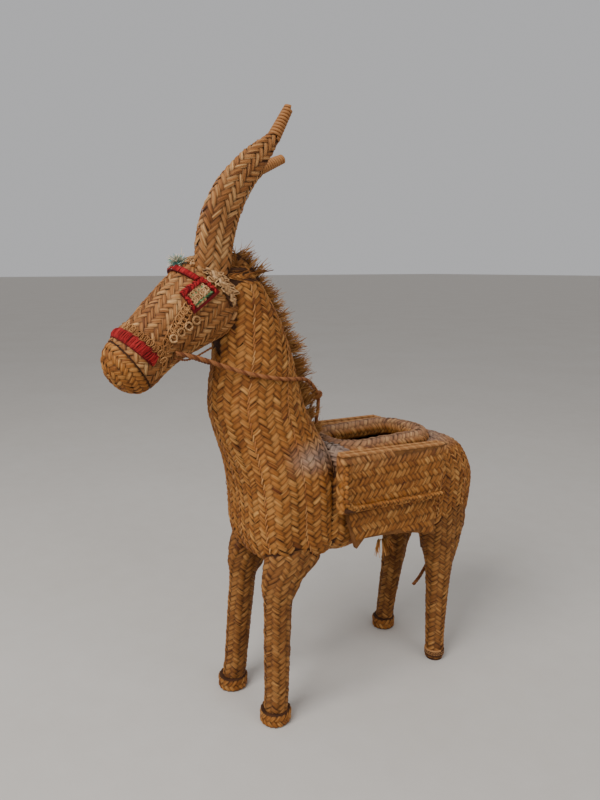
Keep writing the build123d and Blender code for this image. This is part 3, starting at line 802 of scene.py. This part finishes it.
muzzle_skin = wrapped_skin(
    "muzzle_cap", np.linspace(-math.pi, math.pi, 73), muzzle_rays, 0
)
ring_radius = np.linalg.norm(
    np.cross(muzzle_skin.points[0] - np.array(NOSE), np.array(HEAD_ALONG)), axis=1
)
muzzle_skin.unit = np.maximum(ring_radius, 0.006)
plaited("muzzle_plait", "body_plait", "muzzle_cap", muzzle_skin, 32, column=0.0105, pitch=0.0085,
        lift=0.0023)

# ------------------------------------------------------------ panniers
PANNIER_WEAVE = {"column": 0.0125, "pitch": 0.0102, "lift": 0.0025}
for side_name, side in SIDES.items():
    node = "pannier_" + side_name
    low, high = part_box(node)
    outer_x = high[0] if side > 0 else low[0]
    reach_y = np.arange(low[1] + 0.004, high[1] - 0.003, 0.004)

    inner_x = abs(low[0] if side > 0 else high[0])
    depths = np.linspace(inner_x + 0.001, abs(outer_x) - 0.001, 6)

    def pannier_rays(height):
        """Along the front edge, the outer face and the rear edge."""
        rays = [(Vector((side * x, low[1] - FAR, height)), Vector((0, 1, 0))) for x in depths]
        rays += [(Vector((side * FAR, y, height)), Vector((-side, 0, 0))) for y in reach_y]
        rays += [(Vector((side * x, high[1] + FAR, height)), Vector((0, -1, 0)))
                 for x in depths[::-1]]
        return rays

    skin = wrapped_skin(
        node, np.arange(low[2] + 0.001, high[2], 0.005), pannier_rays,
        len(depths) + len(reach_y) // 2, limit=FAR + 0.03,
    ).turned()
    plaited("pannier_plait_" + side_name, "pannier_plait", node, skin, 41 + side, under=EDGE_STRAW,
            worn=worn_above(0.43, 0.05, 0.4), **PANNIER_WEAVE)

    node = "pannier_lower_panel_" + side_name
    low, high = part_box(node)
    skin = flat_skin(
        node, np.arange(low[2], high[2], 0.004), np.arange(low[1], high[1], 0.004), side_ray(side)
    ).turned()
    plaited("pannier_panel_plait_" + side_name, "pannier_plait", node, skin, 43 + side,
            under=EDGE_STRAW, **PANNIER_WEAVE)

# ------------------------------------------------------------ tubes and ropes
def along_path(path, spacing):
    """Evenly spaced points on a chain of points, with their distances and directions."""
    path = np.asarray(path, dtype=float)
    travel = np.concatenate([[0.0], np.cumsum(np.linalg.norm(np.diff(path, axis=0), axis=1))])
    count = max(int(round(travel[-1] / spacing)), 4)
    even = np.linspace(0.0, travel[-1], count + 1)
    points = np.stack([np.interp(even, travel, path[:, axis]) for axis in range(3)], axis=1)
    ways = np.gradient(points, axis=0)
    ways /= np.linalg.norm(ways, axis=1, keepdims=True)
    return points, even, ways


def frames(ways, up):
    """Two directions square to each way: the first is as near to up as it can be."""
    first = np.asarray(up) - ways * (ways @ np.asarray(up))[:, None]
    first /= np.linalg.norm(first, axis=1, keepdims=True)
    return first, np.cross(ways, first)


def tube_skin(path, radius, up=(0, 0, 1), covers=(), reach=0.02):
    """Skin round a tube; across is 0 on the side that faces up."""
    points, travel, ways = along_path(path, 0.004)
    first, second = frames(ways, up)
    turns = np.linspace(-math.pi, math.pi, 25)
    normals = (first[:, None] * np.cos(turns)[None, :, None]
               + second[:, None] * np.sin(turns)[None, :, None])
    surface = points[:, None] + normals * np.reshape(radius, (-1, 1, 1))
    shown = uncovered(surface, normals, covers, reach)
    return Skin(travel, turns * float(np.mean(radius)), surface, normals, shown)


def tube(cloth, path, radius, material, tone=0.5, up=(0, 0, 1), sides=6, spacing=0.002, shade=0.0):
    """One round strand along a path. radius may be one number or one for each end."""
    points, travel, ways = along_path(path, spacing)
    first, second = frames(ways, up)
    turns = np.arange(sides) * 2 * math.pi / sides
    if np.ndim(radius):
        radius = np.interp(travel, [0.0, travel[-1]], radius)[:, None, None]
    ring = (first[:, None] * np.cos(turns)[None, :, None]
            + second[:, None] * np.sin(turns)[None, :, None])
    surface = points[:, None] + ring * radius
    rows, columns = np.meshgrid(np.arange(len(points) - 1), np.arange(sides), indexing="ij")
    after = (columns + 1) % sides
    faces = np.stack([
        rows * sides + columns, rows * sides + after,
        (rows + 1) * sides + after, (rows + 1) * sides + columns,
    ], axis=-1).reshape(-1, 4)
    cloth.add(
        surface.reshape(-1, 3), faces, material, tone=tone, shade=shade,
        along=np.repeat(travel, sides) + tone, across=np.tile(turns * 0.0015, len(points)),
    )


def lace(cloth, skin, seed, material, centres, long, wide, thick=0.0009, turns=1.25, lift=0.0022):
    """Little overlapping loops of cord on a skin. centres holds (row, across, tilt)."""
    rng = np.random.default_rng(seed)
    for row, across, tilt in centres:
        angle = np.linspace(0.0, 2 * math.pi * turns, 22) + rng.uniform(0, 6)
        stretch = rng.uniform(0.88, 1.12, 2)
        u = long * stretch[0] * np.cos(angle)
        v = wide * stretch[1] * np.sin(angle)
        rows = row + u * math.cos(tilt) - v * math.sin(tilt)
        sides = across + u * math.sin(tilt) + v * math.cos(tilt)
        points, normals, shown = skin.at(rows, sides)
        height = lift + np.linspace(0.0, 0.0016, len(angle)) + 0.0006 * np.sin(3 * angle)
        path = points + normals * height[:, None]
        tube(cloth, path, thick, material, tone=float(rng.uniform(0.25, 0.8)),
             up=tuple(normals.mean(axis=0)), sides=5, spacing=0.0012)


def rope(cloth, path, radius, material, seed, plies=3, turn=0.022, up=(0, 0, 1)):
    """Twisted rope: plies wind round the path once in each turn of its length."""
    rng = np.random.default_rng(seed)
    points, travel, ways = along_path(path, 0.0012)
    first, second = frames(ways, up)
    for ply in range(plies):
        angle = 2 * math.pi * (travel / turn + ply / plies)
        offset = radius * 0.48
        aside = first * np.cos(angle)[:, None] + second * np.sin(angle)[:, None]
        middle = points + offset * aside
        tube(cloth, middle, radius * 0.56, material, tone=float(rng.uniform(0.3, 0.75)), up=up,
             spacing=0.0015)


def islands(node):
    """The separate shells of a node, each as its corners."""
    corners, triangles = node_mesh(node)
    whole, index = np.unique(np.round(corners, 5), axis=0, return_inverse=True)
    index = index.ravel()
    faces = index[triangles]
    label = np.arange(len(whole))
    while True:
        lowest = label[faces].min(axis=1)
        before = label.copy()
        for corner in range(3):
            np.minimum.at(label, faces[:, corner], lowest)
        label = label[label]
        if (label == before).all():
            break
    used = np.unique(faces)
    return [whole[used][label[used] == value] for value in np.unique(label[used])]


def circle(centre, radius, first, second, turns=1.0, rise=0.0, count=40):
    """Points round a centre; rise lifts each turn along the third direction."""
    angles = np.linspace(0.0, 2 * math.pi * turns, int(count * turns) + 1)
    first, second = np.asarray(first, dtype=float), np.asarray(second, dtype=float)
    lift = np.cross(first, second)[None] * (rise * angles / (2 * math.pi))[:, None]
    around = first * np.cos(angles)[:, None] + second * np.sin(angles)[:, None]
    return np.asarray(centre) + radius * around + lift


def blades(cloth, rng, material, roots, ways, lengths, width, tone=(0.3, 0.95), bend=0.2):
    """Thin flat blades of grass or yarn, each from a root along its way."""
    count = len(roots)
    ways = ways / np.linalg.norm(ways, axis=1, keepdims=True)
    side = np.cross(ways, rng.normal(size=(count, 3)))
    side /= np.linalg.norm(side, axis=1, keepdims=True)
    curl = np.cross(ways, side) * rng.normal(0.0, bend, (count, 1)) * lengths[:, None]
    share = np.array([0.0, 0.5, 1.0])
    middle = (roots[:, None] + ways[:, None] * (share[None, :, None] * lengths[:, None, None])
              + curl[:, None] * (share ** 2)[None, :, None])
    half = width / 2 * np.array([1.0, 0.9, 0.35])
    edges = np.stack([
        middle - side[:, None] * half[None, :, None], middle + side[:, None] * half[None, :, None]
    ], axis=2)
    quads = np.array([(0, 1, 3, 2), (2, 3, 5, 4)])
    faces = (np.arange(count)[:, None, None] * 6 + quads[None]).reshape(-1, 4)
    tones = rng.uniform(*tone, count)
    cloth.add(
        edges.reshape(-1, 3), faces, material, tone=np.repeat(tones, 6),
        along=np.tile(np.repeat(share * 0.03, 2), count) + np.repeat(tones, 6),
        # painted shade at each blade's root, fading out towards the tip
        shade=np.tile(np.repeat([0.7, 0.15, 0.0], 2), count),
    )


# ------------------------------------------------------------ rolled rim of the open back
RIM_CORNER = 0.046
rim_low, rim_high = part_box("back_rim_left")
RIM_RADIUS = (rim_high[2] - rim_low[2]) / 2
rim_half = rim_high[0] - RIM_RADIUS
rim_front = rim_low[1] + RIM_RADIUS
rim_rear = rim_high[1] - RIM_RADIUS
rim_height = (rim_low[2] + rim_high[2]) / 2


def rim_path(side):
    """Middle of the rolled rim on one side, from the front middle to the rear middle."""
    points = [(0.0, rim_front)]
    inner = rim_half - RIM_CORNER
    for k in range(13):
        angle = math.pi / 2 * k / 12
        points.append((inner + RIM_CORNER * math.sin(angle),
                       rim_front + RIM_CORNER - RIM_CORNER * math.cos(angle)))
    for k in range(13):
        angle = math.pi / 2 * k / 12
        points.append((inner + RIM_CORNER * math.cos(angle),
                       rim_rear - RIM_CORNER + RIM_CORNER * math.sin(angle)))
    points.append((0.0, rim_rear))
    return [(side * x, y, rim_height) for x, y in points]


for side_name, side in SIDES.items():
    node = "back_rim_" + side_name
    skin = tube_skin(rim_path(side), RIM_RADIUS, covers=("neck_shell",))
    plaited("rolled_rim_" + side_name, "body_plait", node, skin, 50 + side, column=0.01346,
            lift=0.0030, worn=worn_above(0.450, 0.03, 0.45))

# ------------------------------------------------------------ ears
# guide points through the middle of each ear, which the rays are aimed at
EAR_LINES = {
    "left": [(0.028, -0.200, 0.752), (0.032, -0.198, 0.800), (0.036, -0.186, 0.846),
             (0.038, -0.160, 0.890), (0.038, -0.122, 0.931), (0.038, -0.100, 0.953)],
    "right": [(-0.022, -0.180, 0.752), (-0.025, -0.173, 0.795), (-0.028, -0.158, 0.836),
              (-0.032, -0.134, 0.876), (-0.037, -0.099, 0.908), (-0.039, -0.078, 0.921)],
}
for side_name, side in SIDES.items():
    node = "ear_" + side_name
    points, travel, ways = along_path(EAR_LINES[side_name], 0.004)
    first, second = frames(ways, (side, 0, 0))
    stations = {round(t, 6): (points[k], first[k], second[k]) for k, t in enumerate(travel)}

    def ear_rays(travelled):
        centre, outward, flat = stations[round(travelled, 6)]
        return round_rays(centre, outward, flat, 64)

    skin = wrapped_skin(node, travel, ear_rays, 32, ("head_shell", "neck_shell"))
    plaited("ear_plait_" + side_name, "body_plait", node, skin, 60 + side, HEAD_STRAW,
            column=0.0115, pitch=0.0105, first=-0.00575, slant=0.95)

    node = "ear_tip_binding_" + side_name
    cloth = Cloth()
    backing(cloth, node)
    corners, triangles = node_mesh(node)
    start = np.array(EAR_LINES[side_name][-1])
    reach = (corners - start) @ ways[-1]
    tip = corners[reach > reach.max() - 0.003].mean(axis=0)
    way = (tip - start) / np.linalg.norm(tip - start)
    u, v = frames(way[None], (side, 0, 0))
    turns = np.linspace(0.0, 1.0, 340)
    whips = 10
    angle = turns * 2 * math.pi * whips
    radius = 0.0082 + (0.0052 - 0.0082) * turns
    coil = (start + (tip - start) * turns[:, None]
            + radius[:, None] * (u * np.cos(angle)[:, None] + v * np.sin(angle)[:, None]))
    tube(cloth, coil, 0.0027, CORD, tone=0.55, up=tuple(way), spacing=0.0015)
    cloth.finish("ear_whipping_" + side_name, "twisted_cord", node)

# ------------------------------------------------------------ mane
CREST = np.array([
    (-0.186, 0.782), (-0.140, 0.781), (-0.110, 0.749), (-0.073, 0.687), (-0.048, 0.621),
    (-0.032, 0.555), (-0.010, 0.504), (0.014, 0.470),
])
crest_path = np.column_stack([np.zeros(len(CREST)), CREST])
crest, _, crest_ways = along_path(crest_path, 0.002)
crest_out = np.column_stack([np.zeros(len(crest)), -crest_ways[:, 2], crest_ways[:, 1]])
rng = np.random.default_rng(71)
mane = Cloth()
backing(mane, "mane_band")
band_low, band_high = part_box("mane_band")
for side in SIDES.values():
    band_side = flat_skin(
        "mane_band", np.arange(band_low[2], band_high[2], 0.004),
        np.arange(band_low[1], band_high[1], 0.004), side_ray(side),
    )
    plait(mane, band_side, 70 + side, BROWN_STRAW, column=0.0115, pitch=0.009)
for share in np.linspace(0.04, 0.94, 23):
    k = int(share * (len(crest) - 1))
    low_clump = 0.5 < share < 0.85
    count = 190 if low_clump else 120
    clump = rng.normal(0.0, 0.0022, 3)
    spread = rng.normal(0.0, 1.0, (count, 3)) * np.array([0.0052, 0.003, 0.003])
    roots = crest[k] + clump - crest_out[k] * rng.uniform(0.002, 0.016, (count, 1)) + spread
    lean = crest_out[k] - crest_ways[k] * rng.uniform(-0.35, 0.45)
    ways = lean + rng.normal(0.0, 0.22, (count, 3))
    lengths = rng.uniform(0.014, 0.030, count) * (1.3 if low_clump else 1.0)
    blades(mane, rng, BROWN_STRAW, roots, ways, lengths, 0.0015, tone=(0.3, 1.0))
mane.finish("mane", "frayed_straw", "mane_band", "mane_tufts")

# ------------------------------------------------------------ feet
for foot, seed in (("front_left", 192), ("front_right", 193), ("hind_right", 194)):
    node = "hoof_cuff_" + foot
    low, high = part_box(node)
    centre = ((low[0] + high[0]) / 2, (low[1] + high[1]) / 2)
    skin = wrapped_skin(
        node, np.linspace(low[2] + 0.0015, high[2] - 0.0015, 8),
        lambda z: round_rays((centre[0], centre[1], z), (1, 0, 0), (0, 1, 0), 64, -1.0), 32,
    ).turned()
    plaited("foot_plait_" + foot, "body_plait", node, skin, seed, column=0.0105, pitch=0.0085,
            lift=0.0024, first=low[2] + 0.0015)

node = "foot_binding_hind_left"
low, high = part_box(node)
cloth = Cloth()
backing(cloth, node)
centre = ((low[0] + high[0]) / 2, (low[1] + high[1]) / 2, low[2] + 0.0025)
coil = circle(centre, (high[0] - low[0]) / 2 - 0.0018, (1, 0, 0), (0, 1, 0), turns=3.0, rise=0.0033)
rope(cloth, coil, 0.0022, CORD, 84, turn=0.014)
cloth.finish("foot_cord_hind_left", "twisted_cord", node)

# ------------------------------------------------------------ pannier edges
for side_name, side in SIDES.items():
    node = "pannier_braid_" + side_name
    low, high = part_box(node)
    middle_x = (low[0] + high[0]) / 2
    radius = (high[0] - low[0]) / 2
    pocket_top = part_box("pannier_" + side_name)[1][2]
    front_z = high[2] - radius
    bend = 0.022
    path = [(middle_x, low[1] + 0.002, pocket_top - 0.012)]
    for k in range(9):
        angle = math.pi / 2 * k / 8
        path.append((middle_x, low[1] + 0.002 + bend * (1 - math.cos(angle)),
                     front_z + bend * (1 - math.sin(angle))))
    path.append((middle_x, high[1], low[2] + radius))
    skin = tube_skin(path, radius, up=(side, 0, 0))
    plaited("pannier_braid_plait_" + side_name, "pannier_plait", node, skin, 90 + side,
            column=0.0063, pitch=0.0075, lift=0.0022, fibres=3)

    node = "pannier_rim_cord_" + side_name
    low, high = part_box(node)
    thick = 0.0026
    ends = (low[1] + thick, high[1] - thick)
    edges = (low[0] + thick, high[0] - thick)
    heights = (high[2] - thick, low[2] + thick)
    path = [
        (edges[0], ends[0], heights[0]), (edges[1], ends[0], heights[0]),
        (edges[1], ends[1], heights[1]), (edges[0], ends[1], heights[1]),
        (edges[0], ends[0], heights[0]),
    ]
    cloth = Cloth()
    rope(cloth, path, 0.0036, CORD, 92 + side, turn=0.018)
    cloth.finish("pannier_rim_rope_" + side_name, "twisted_cord", node)

# ------------------------------------------------------------ headstall
HEAD_RADIUS = 0.046


def band_skin(node, back_low, back_high, angle_low, angle_high):
    """Skin of a band sewn on the head: rows run back from the nose, across runs round it."""
    def ray(back, across):
        turn = across / HEAD_RADIUS
        outward = HEAD_UP * math.cos(turn) + Vector((1, 0, 0)) * math.sin(turn)
        centre = NOSE + HEAD_ALONG * back + HEAD_UP * 0.003
        return centre + outward * FAR, -outward

    return flat_skin(
        node, np.arange(back_low, back_high, 0.0015),
        np.arange(angle_low, angle_high, 0.04) * HEAD_RADIUS, ray,
    )


def wraps(cloth, skin, seed, material, spacing, width, lift=0.0022, fibres=2, slant=0.0, part=1.0):
    """Yarn laid side by side over a band, each strand as long as the band is wide there."""
    rng = np.random.default_rng(seed)
    skin.least_shown = 0.3
    places, lengths = [], []
    for across in np.arange(skin.across[0], skin.across[-1], spacing):
        j = int(round((across - skin.across[0]) / (skin.across[1] - skin.across[0])))
        rows = skin.rows[skin.shown[:, min(j, len(skin.across) - 1)]]
        if len(rows) > 2:
            places.append(((rows[0] + rows[-1]) / 2, across))
            lengths.append((rows[-1] - rows[0]) * part)
    if places:
        lengths = np.array(lengths)
        slants = np.full(len(places), math.pi / 2 + slant)
        strands(cloth, skin, rng, material, np.array(places), slants, lengths, width, lift,
                fibres=fibres, tone_range=(0.3, 0.85), painted_end_shade=0.6)


cloth = Cloth()
backing(cloth, "noseband", WOOL)
nose_skin = band_skin("noseband", 0.034, 0.072, -3.1, 3.1)
wraps(cloth, nose_skin, 101, WOOL, 0.0022, 0.0026, 0.0030, fibres=1)
wraps(cloth, nose_skin, 102, WOOL, 0.0037, 0.0022, 0.0040, fibres=1, part=0.9, slant=0.12)
cloth.finish("noseband_wool", "red_wool", "noseband")

cloth = Cloth()
backing(cloth, "browband", WOOL)
wraps(cloth, band_skin("browband", 0.158, 0.190, -1.6, 1.6), 102, WOOL, 0.0028, 0.0032, 0.0026)
cloth.finish("browband_wool", "red_wool", "browband")

rear_edge = []
for across in np.arange(-2.0, 2.01, 0.0052 / HEAD_RADIUS) * HEAD_RADIUS:
    j = int(round((across - nose_skin.across[0]) / (nose_skin.across[1] - nose_skin.across[0])))
    rows = nose_skin.rows[nose_skin.shown[:, j]]
    if len(rows):
        rear_edge.append((rows[-1] + 0.0045, across * 0.98, 0.35 * (-1) ** len(rear_edge)))
cloth = Cloth()
lace(cloth, head_skin, 201, BROWN_LACE, rear_edge, 0.0058, 0.0034)
cloth.finish("noseband_lace", "pale_lace")

for side_name, side in SIDES.items():
    chain = []
    for k in range(11):
        share = k / 10
        row = 0.082 + 0.070 * share
        across = side * (0.0755 - 0.010 * share)
        chain.append((row, across, 0.5))
        chain.append((row + 0.004, across - side * 0.0075, -0.4))
    cloth = Cloth()
    lace(cloth, head_skin, 203 + side, BROWN_LACE, chain, 0.0056, 0.0046, turns=2.2)
    cloth.finish("cheek_lace_" + side_name, "pale_lace")

    scallops = []
    for k in range(8):
        row = 0.150 + 0.0058 * k
        scallops.append((row, side * 0.0625, 0.3))
        scallops.append((row + 0.003, side * 0.0555, -0.3))
    crown = []
    for k in range(15):
        across = side * (0.003 + 0.0054 * k)
        crown.append((0.196 + 0.0006 * k, across, 0.25 * (-1) ** k))
        crown.append((0.203 + 0.0006 * k, across + side * 0.0027, -0.3 * (-1) ** k))
    cloth = Cloth()
    lace(cloth, head_skin, 206 + side, LACE, scallops, 0.0044, 0.0040, turns=1.8, lift=0.0045)
    lace(cloth, head_skin, 209 + side, LACE, crown, 0.0078, 0.0032, lift=0.0050)
    cloth.finish("blinker_and_crown_loops_" + side_name, "pale_lace")

for side_name, side in SIDES.items():
    angles = (0.2, 2.0) if side > 0 else (-2.0, -0.2)
    node = "blinker_wool_edging_" + side_name
    plaited("blinker_wool_" + side_name, "red_wool", node, band_skin(node, 0.138, 0.198, *angles),
            103 + side, WOOL, under=WOOL, column=0.0045, pitch=0.0034, lift=0.0022, fibres=2)
    node = "blinker_" + side_name
    plaited("blinker_lace_" + side_name, "pale_lace", node, band_skin(node, 0.146, 0.190, *angles),
            105 + side, LACE, column=0.0055, pitch=0.0048, lift=0.0020, seam_every=2, fibres=2,
            stitch=GREEN)
    node = "crown_band_" + side_name
    plaited("crown_lace_" + side_name, "pale_lace", node, band_skin(node, 0.190, 0.220, *angles),
            107 + side, LACE, column=0.0060, pitch=0.0050, lift=0.0026, fibres=2)

    cloth = Cloth()
    for k, shell in enumerate(islands("cheek_loops_" + side_name)):
        low, high = shell.min(axis=0), shell.max(axis=0)
        middle = (low + high) / 2 - np.array([side * 0.001, 0, 0])
        coil = circle(middle, (high[1] - low[1]) / 2 - 0.0014, (0, 1, 0), (0, 0, 1), turns=1.9,
                      rise=side * 0.0018, count=26)
        rope(cloth, coil, 0.0017, LACE, 110 + k, plies=2, turn=0.009, up=(1, 0, 0))
    cloth.finish("cheek_loop_lace_" + side_name, "pale_lace", "cheek_loops_" + side_name)

    node = "rein_ring_" + side_name
    low, high, middle = box_corners(node)
    cloth = Cloth()
    ring = circle(middle, (high[0] - low[0]) / 2 - 0.0022, (1, 0, 0), (0, 0, 1))
    rope(cloth, ring, 0.0024, CORD, 115 + side, plies=2, turn=0.010, up=(0, 1, 0))
    cloth.finish("rein_ring_cord_" + side_name, "twisted_cord", node)

TEAL = strand_material("teal_wool", srgb(30, 84, 80), srgb(70, 148, 138), srgb(150, 204, 190))
low, high, middle = box_corners("forehead_tuft")
rng = np.random.default_rng(120)
tuft = Cloth()
for material, count in ((TEAL, 260), (CREAM, 340)):
    ways = rng.normal(0.0, 1.0, (count, 3)) + np.array([0.0, -0.7, 0.9])
    roots = np.broadcast_to(middle, (count, 3)) + rng.normal(0.0, 0.0012, (count, 3))
    blades(tuft, rng, material, roots, ways, rng.uniform(0.008, 0.0150, count), 0.0013, bend=0.5)
tuft.finish("forehead_pompom", "teal_tuft", "forehead_tuft")

# ------------------------------------------------------------ reins, knot and loose cords
REIN_ROUTE = [
    (0.0425, -0.2696, 0.644), (0.045, -0.248, 0.639), (0.0455, -0.222, 0.630),
    (0.048, -0.195, 0.619), (0.056, -0.168, 0.609), (0.063, -0.139, 0.601),
    (0.065, -0.109, 0.5945), (0.058, -0.080, 0.590), (0.043, -0.054, 0.587),
    (0.027, -0.030, 0.580), (0.015, -0.009, 0.565), (0.0065, 0.005, 0.550),
]
DROP_ROUTE = [
    (0.0, 0.011, 0.539), (0.0005, 0.010, 0.520), (-0.0015, 0.007, 0.501),
    (0.001, 0.0065, 0.483), (0.0, 0.0085, 0.4685),
]
THIN_ROUTE = [
    (-0.006, 0.007, 0.5395), (-0.009, 0.001, 0.529), (-0.010, -0.001, 0.517),
    (-0.0075, -0.001, 0.505), (-0.005, -0.006, 0.495),
]
ROPE_END_ROUTE = [
    (0.033, 0.271, 0.190), (0.031, 0.263, 0.176), (0.0305, 0.251, 0.161),
    (0.033, 0.237, 0.149), (0.031, 0.225, 0.139),
]
THROAT_ROUTE = [
    (0.040, -0.270, 0.636), (0.0335, -0.253, 0.630), (0.0275, -0.235, 0.6325),
    (0.0245, -0.218, 0.639), (0.024, -0.203, 0.646),
]


def spline_points(name, route):
    """Points along a smooth curve that a cord's route steers."""
    data = bpy.data.curves.new(name + "_route", "CURVE")
    data.dimensions = "3D"
    data.resolution_u = 12
    spline = data.splines.new("NURBS")
    spline.points.add(len(route) - 1)
    for point, place in zip(spline.points, route):
        point.co = (*place, 1.0)
    spline.order_u = 3
    spline.use_endpoint_u = True
    holder = bpy.data.objects.new(name + "_route", data)
    mesh = bpy.data.meshes.new_from_object(holder)
    points = np.array([tuple(vertex.co) for vertex in mesh.vertices])
    bpy.data.objects.remove(holder)
    bpy.data.meshes.remove(mesh)
    return points


def laid_cord(name, node, route, radius, seed, turn=0.020, plies=3):
    path = spline_points(name, route)
    cloth = Cloth()
    rope(cloth, path, radius, REIN, seed, plies=plies, turn=turn)
    piece = cloth.finish(name, "twisted_cord", node)
    return piece


knot = Cloth()
low, high, centre = box_corners("rein_knot")
for k, tilt in enumerate((-0.9, -0.2, 0.5, 1.2, 1.9)):
    first = (math.cos(tilt), 0.35 * math.sin(tilt), math.sin(tilt))
    second = (0.0, 1.0, 0.15)
    first = np.array(first) / np.linalg.norm(first)
    second = np.array(second) / np.linalg.norm(second)
    rope(knot, circle(centre, 0.0052, first, second), 0.0031, REIN, 130 + k,
         up=tuple(np.cross(first, second)))
knot = knot.finish("rein_knot_cord", "twisted_cord", "rein_knot")

for side_name, side in SIDES.items():
    route = [(side * x, y, z) for x, y, z in REIN_ROUTE]
    laid_cord("rein_cord_" + side_name, "rein_" + side_name, route, 0.0034, 140 + side)
laid_cord("rein_drop", "rein_drop_cord", DROP_ROUTE, 0.0034, 143)
laid_cord("thin_strand", "thin_mane_strand", THIN_ROUTE, 0.0016, 144, plies=2,
          turn=0.010)
laid_cord("rope_end", "hind_rope_end", ROPE_END_ROUTE, 0.0035, 145)
laid_cord("throat_string", "throat_cord", THROAT_ROUTE, 0.0017, 146, plies=2,
          turn=0.010)

# ------------------------------------------------------------ loose pieces under the body
node = "thigh_flap_left"
low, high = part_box(node)
skin = flat_skin(
    node, np.arange(low[2], high[2], 0.003), np.arange(low[1], high[1], 0.003),
    side_ray(1),
)
plaited("thigh_flap_plait", "body_plait", node, skin, 150, BROWN_STRAW, column=0.0125, pitch=0.0095)

rng = np.random.default_rng(151)
loose = Cloth()
for shell in islands("loose_strands"):
    low, high = shell.min(axis=0), shell.max(axis=0)
    top = shell[shell[:, 2] > high[2] - 0.004].mean(axis=0)
    bottom = shell[shell[:, 2] < low[2] + 0.004].mean(axis=0)
    count = 16
    roots = top + rng.normal(0.0, 0.0012, (count, 3))
    ways = (bottom - top) + rng.normal(0.0, 0.003, (count, 3))
    lengths = np.linalg.norm(bottom - top) * rng.uniform(0.6, 1.0, count)
    blades(loose, rng, STRAW, roots, ways, lengths, 0.0024, bend=0.12)
loose.finish("loose_straws", "frayed_straw", "loose_strands")

# ------------------------------------------------------------ plain finishes of what shows least
for name, obj in NODES.items():
    material = None
    if name.startswith("leg_post") or name in ("front_crossbar", "hind_crossbar", "floor_rail",
                                               "neck_stake"):
        material = STICK
    if name.endswith("straw_filling"):
        material = STUFFING
    if material:
        obj.data.materials.clear()
        obj.data.materials.append(material)
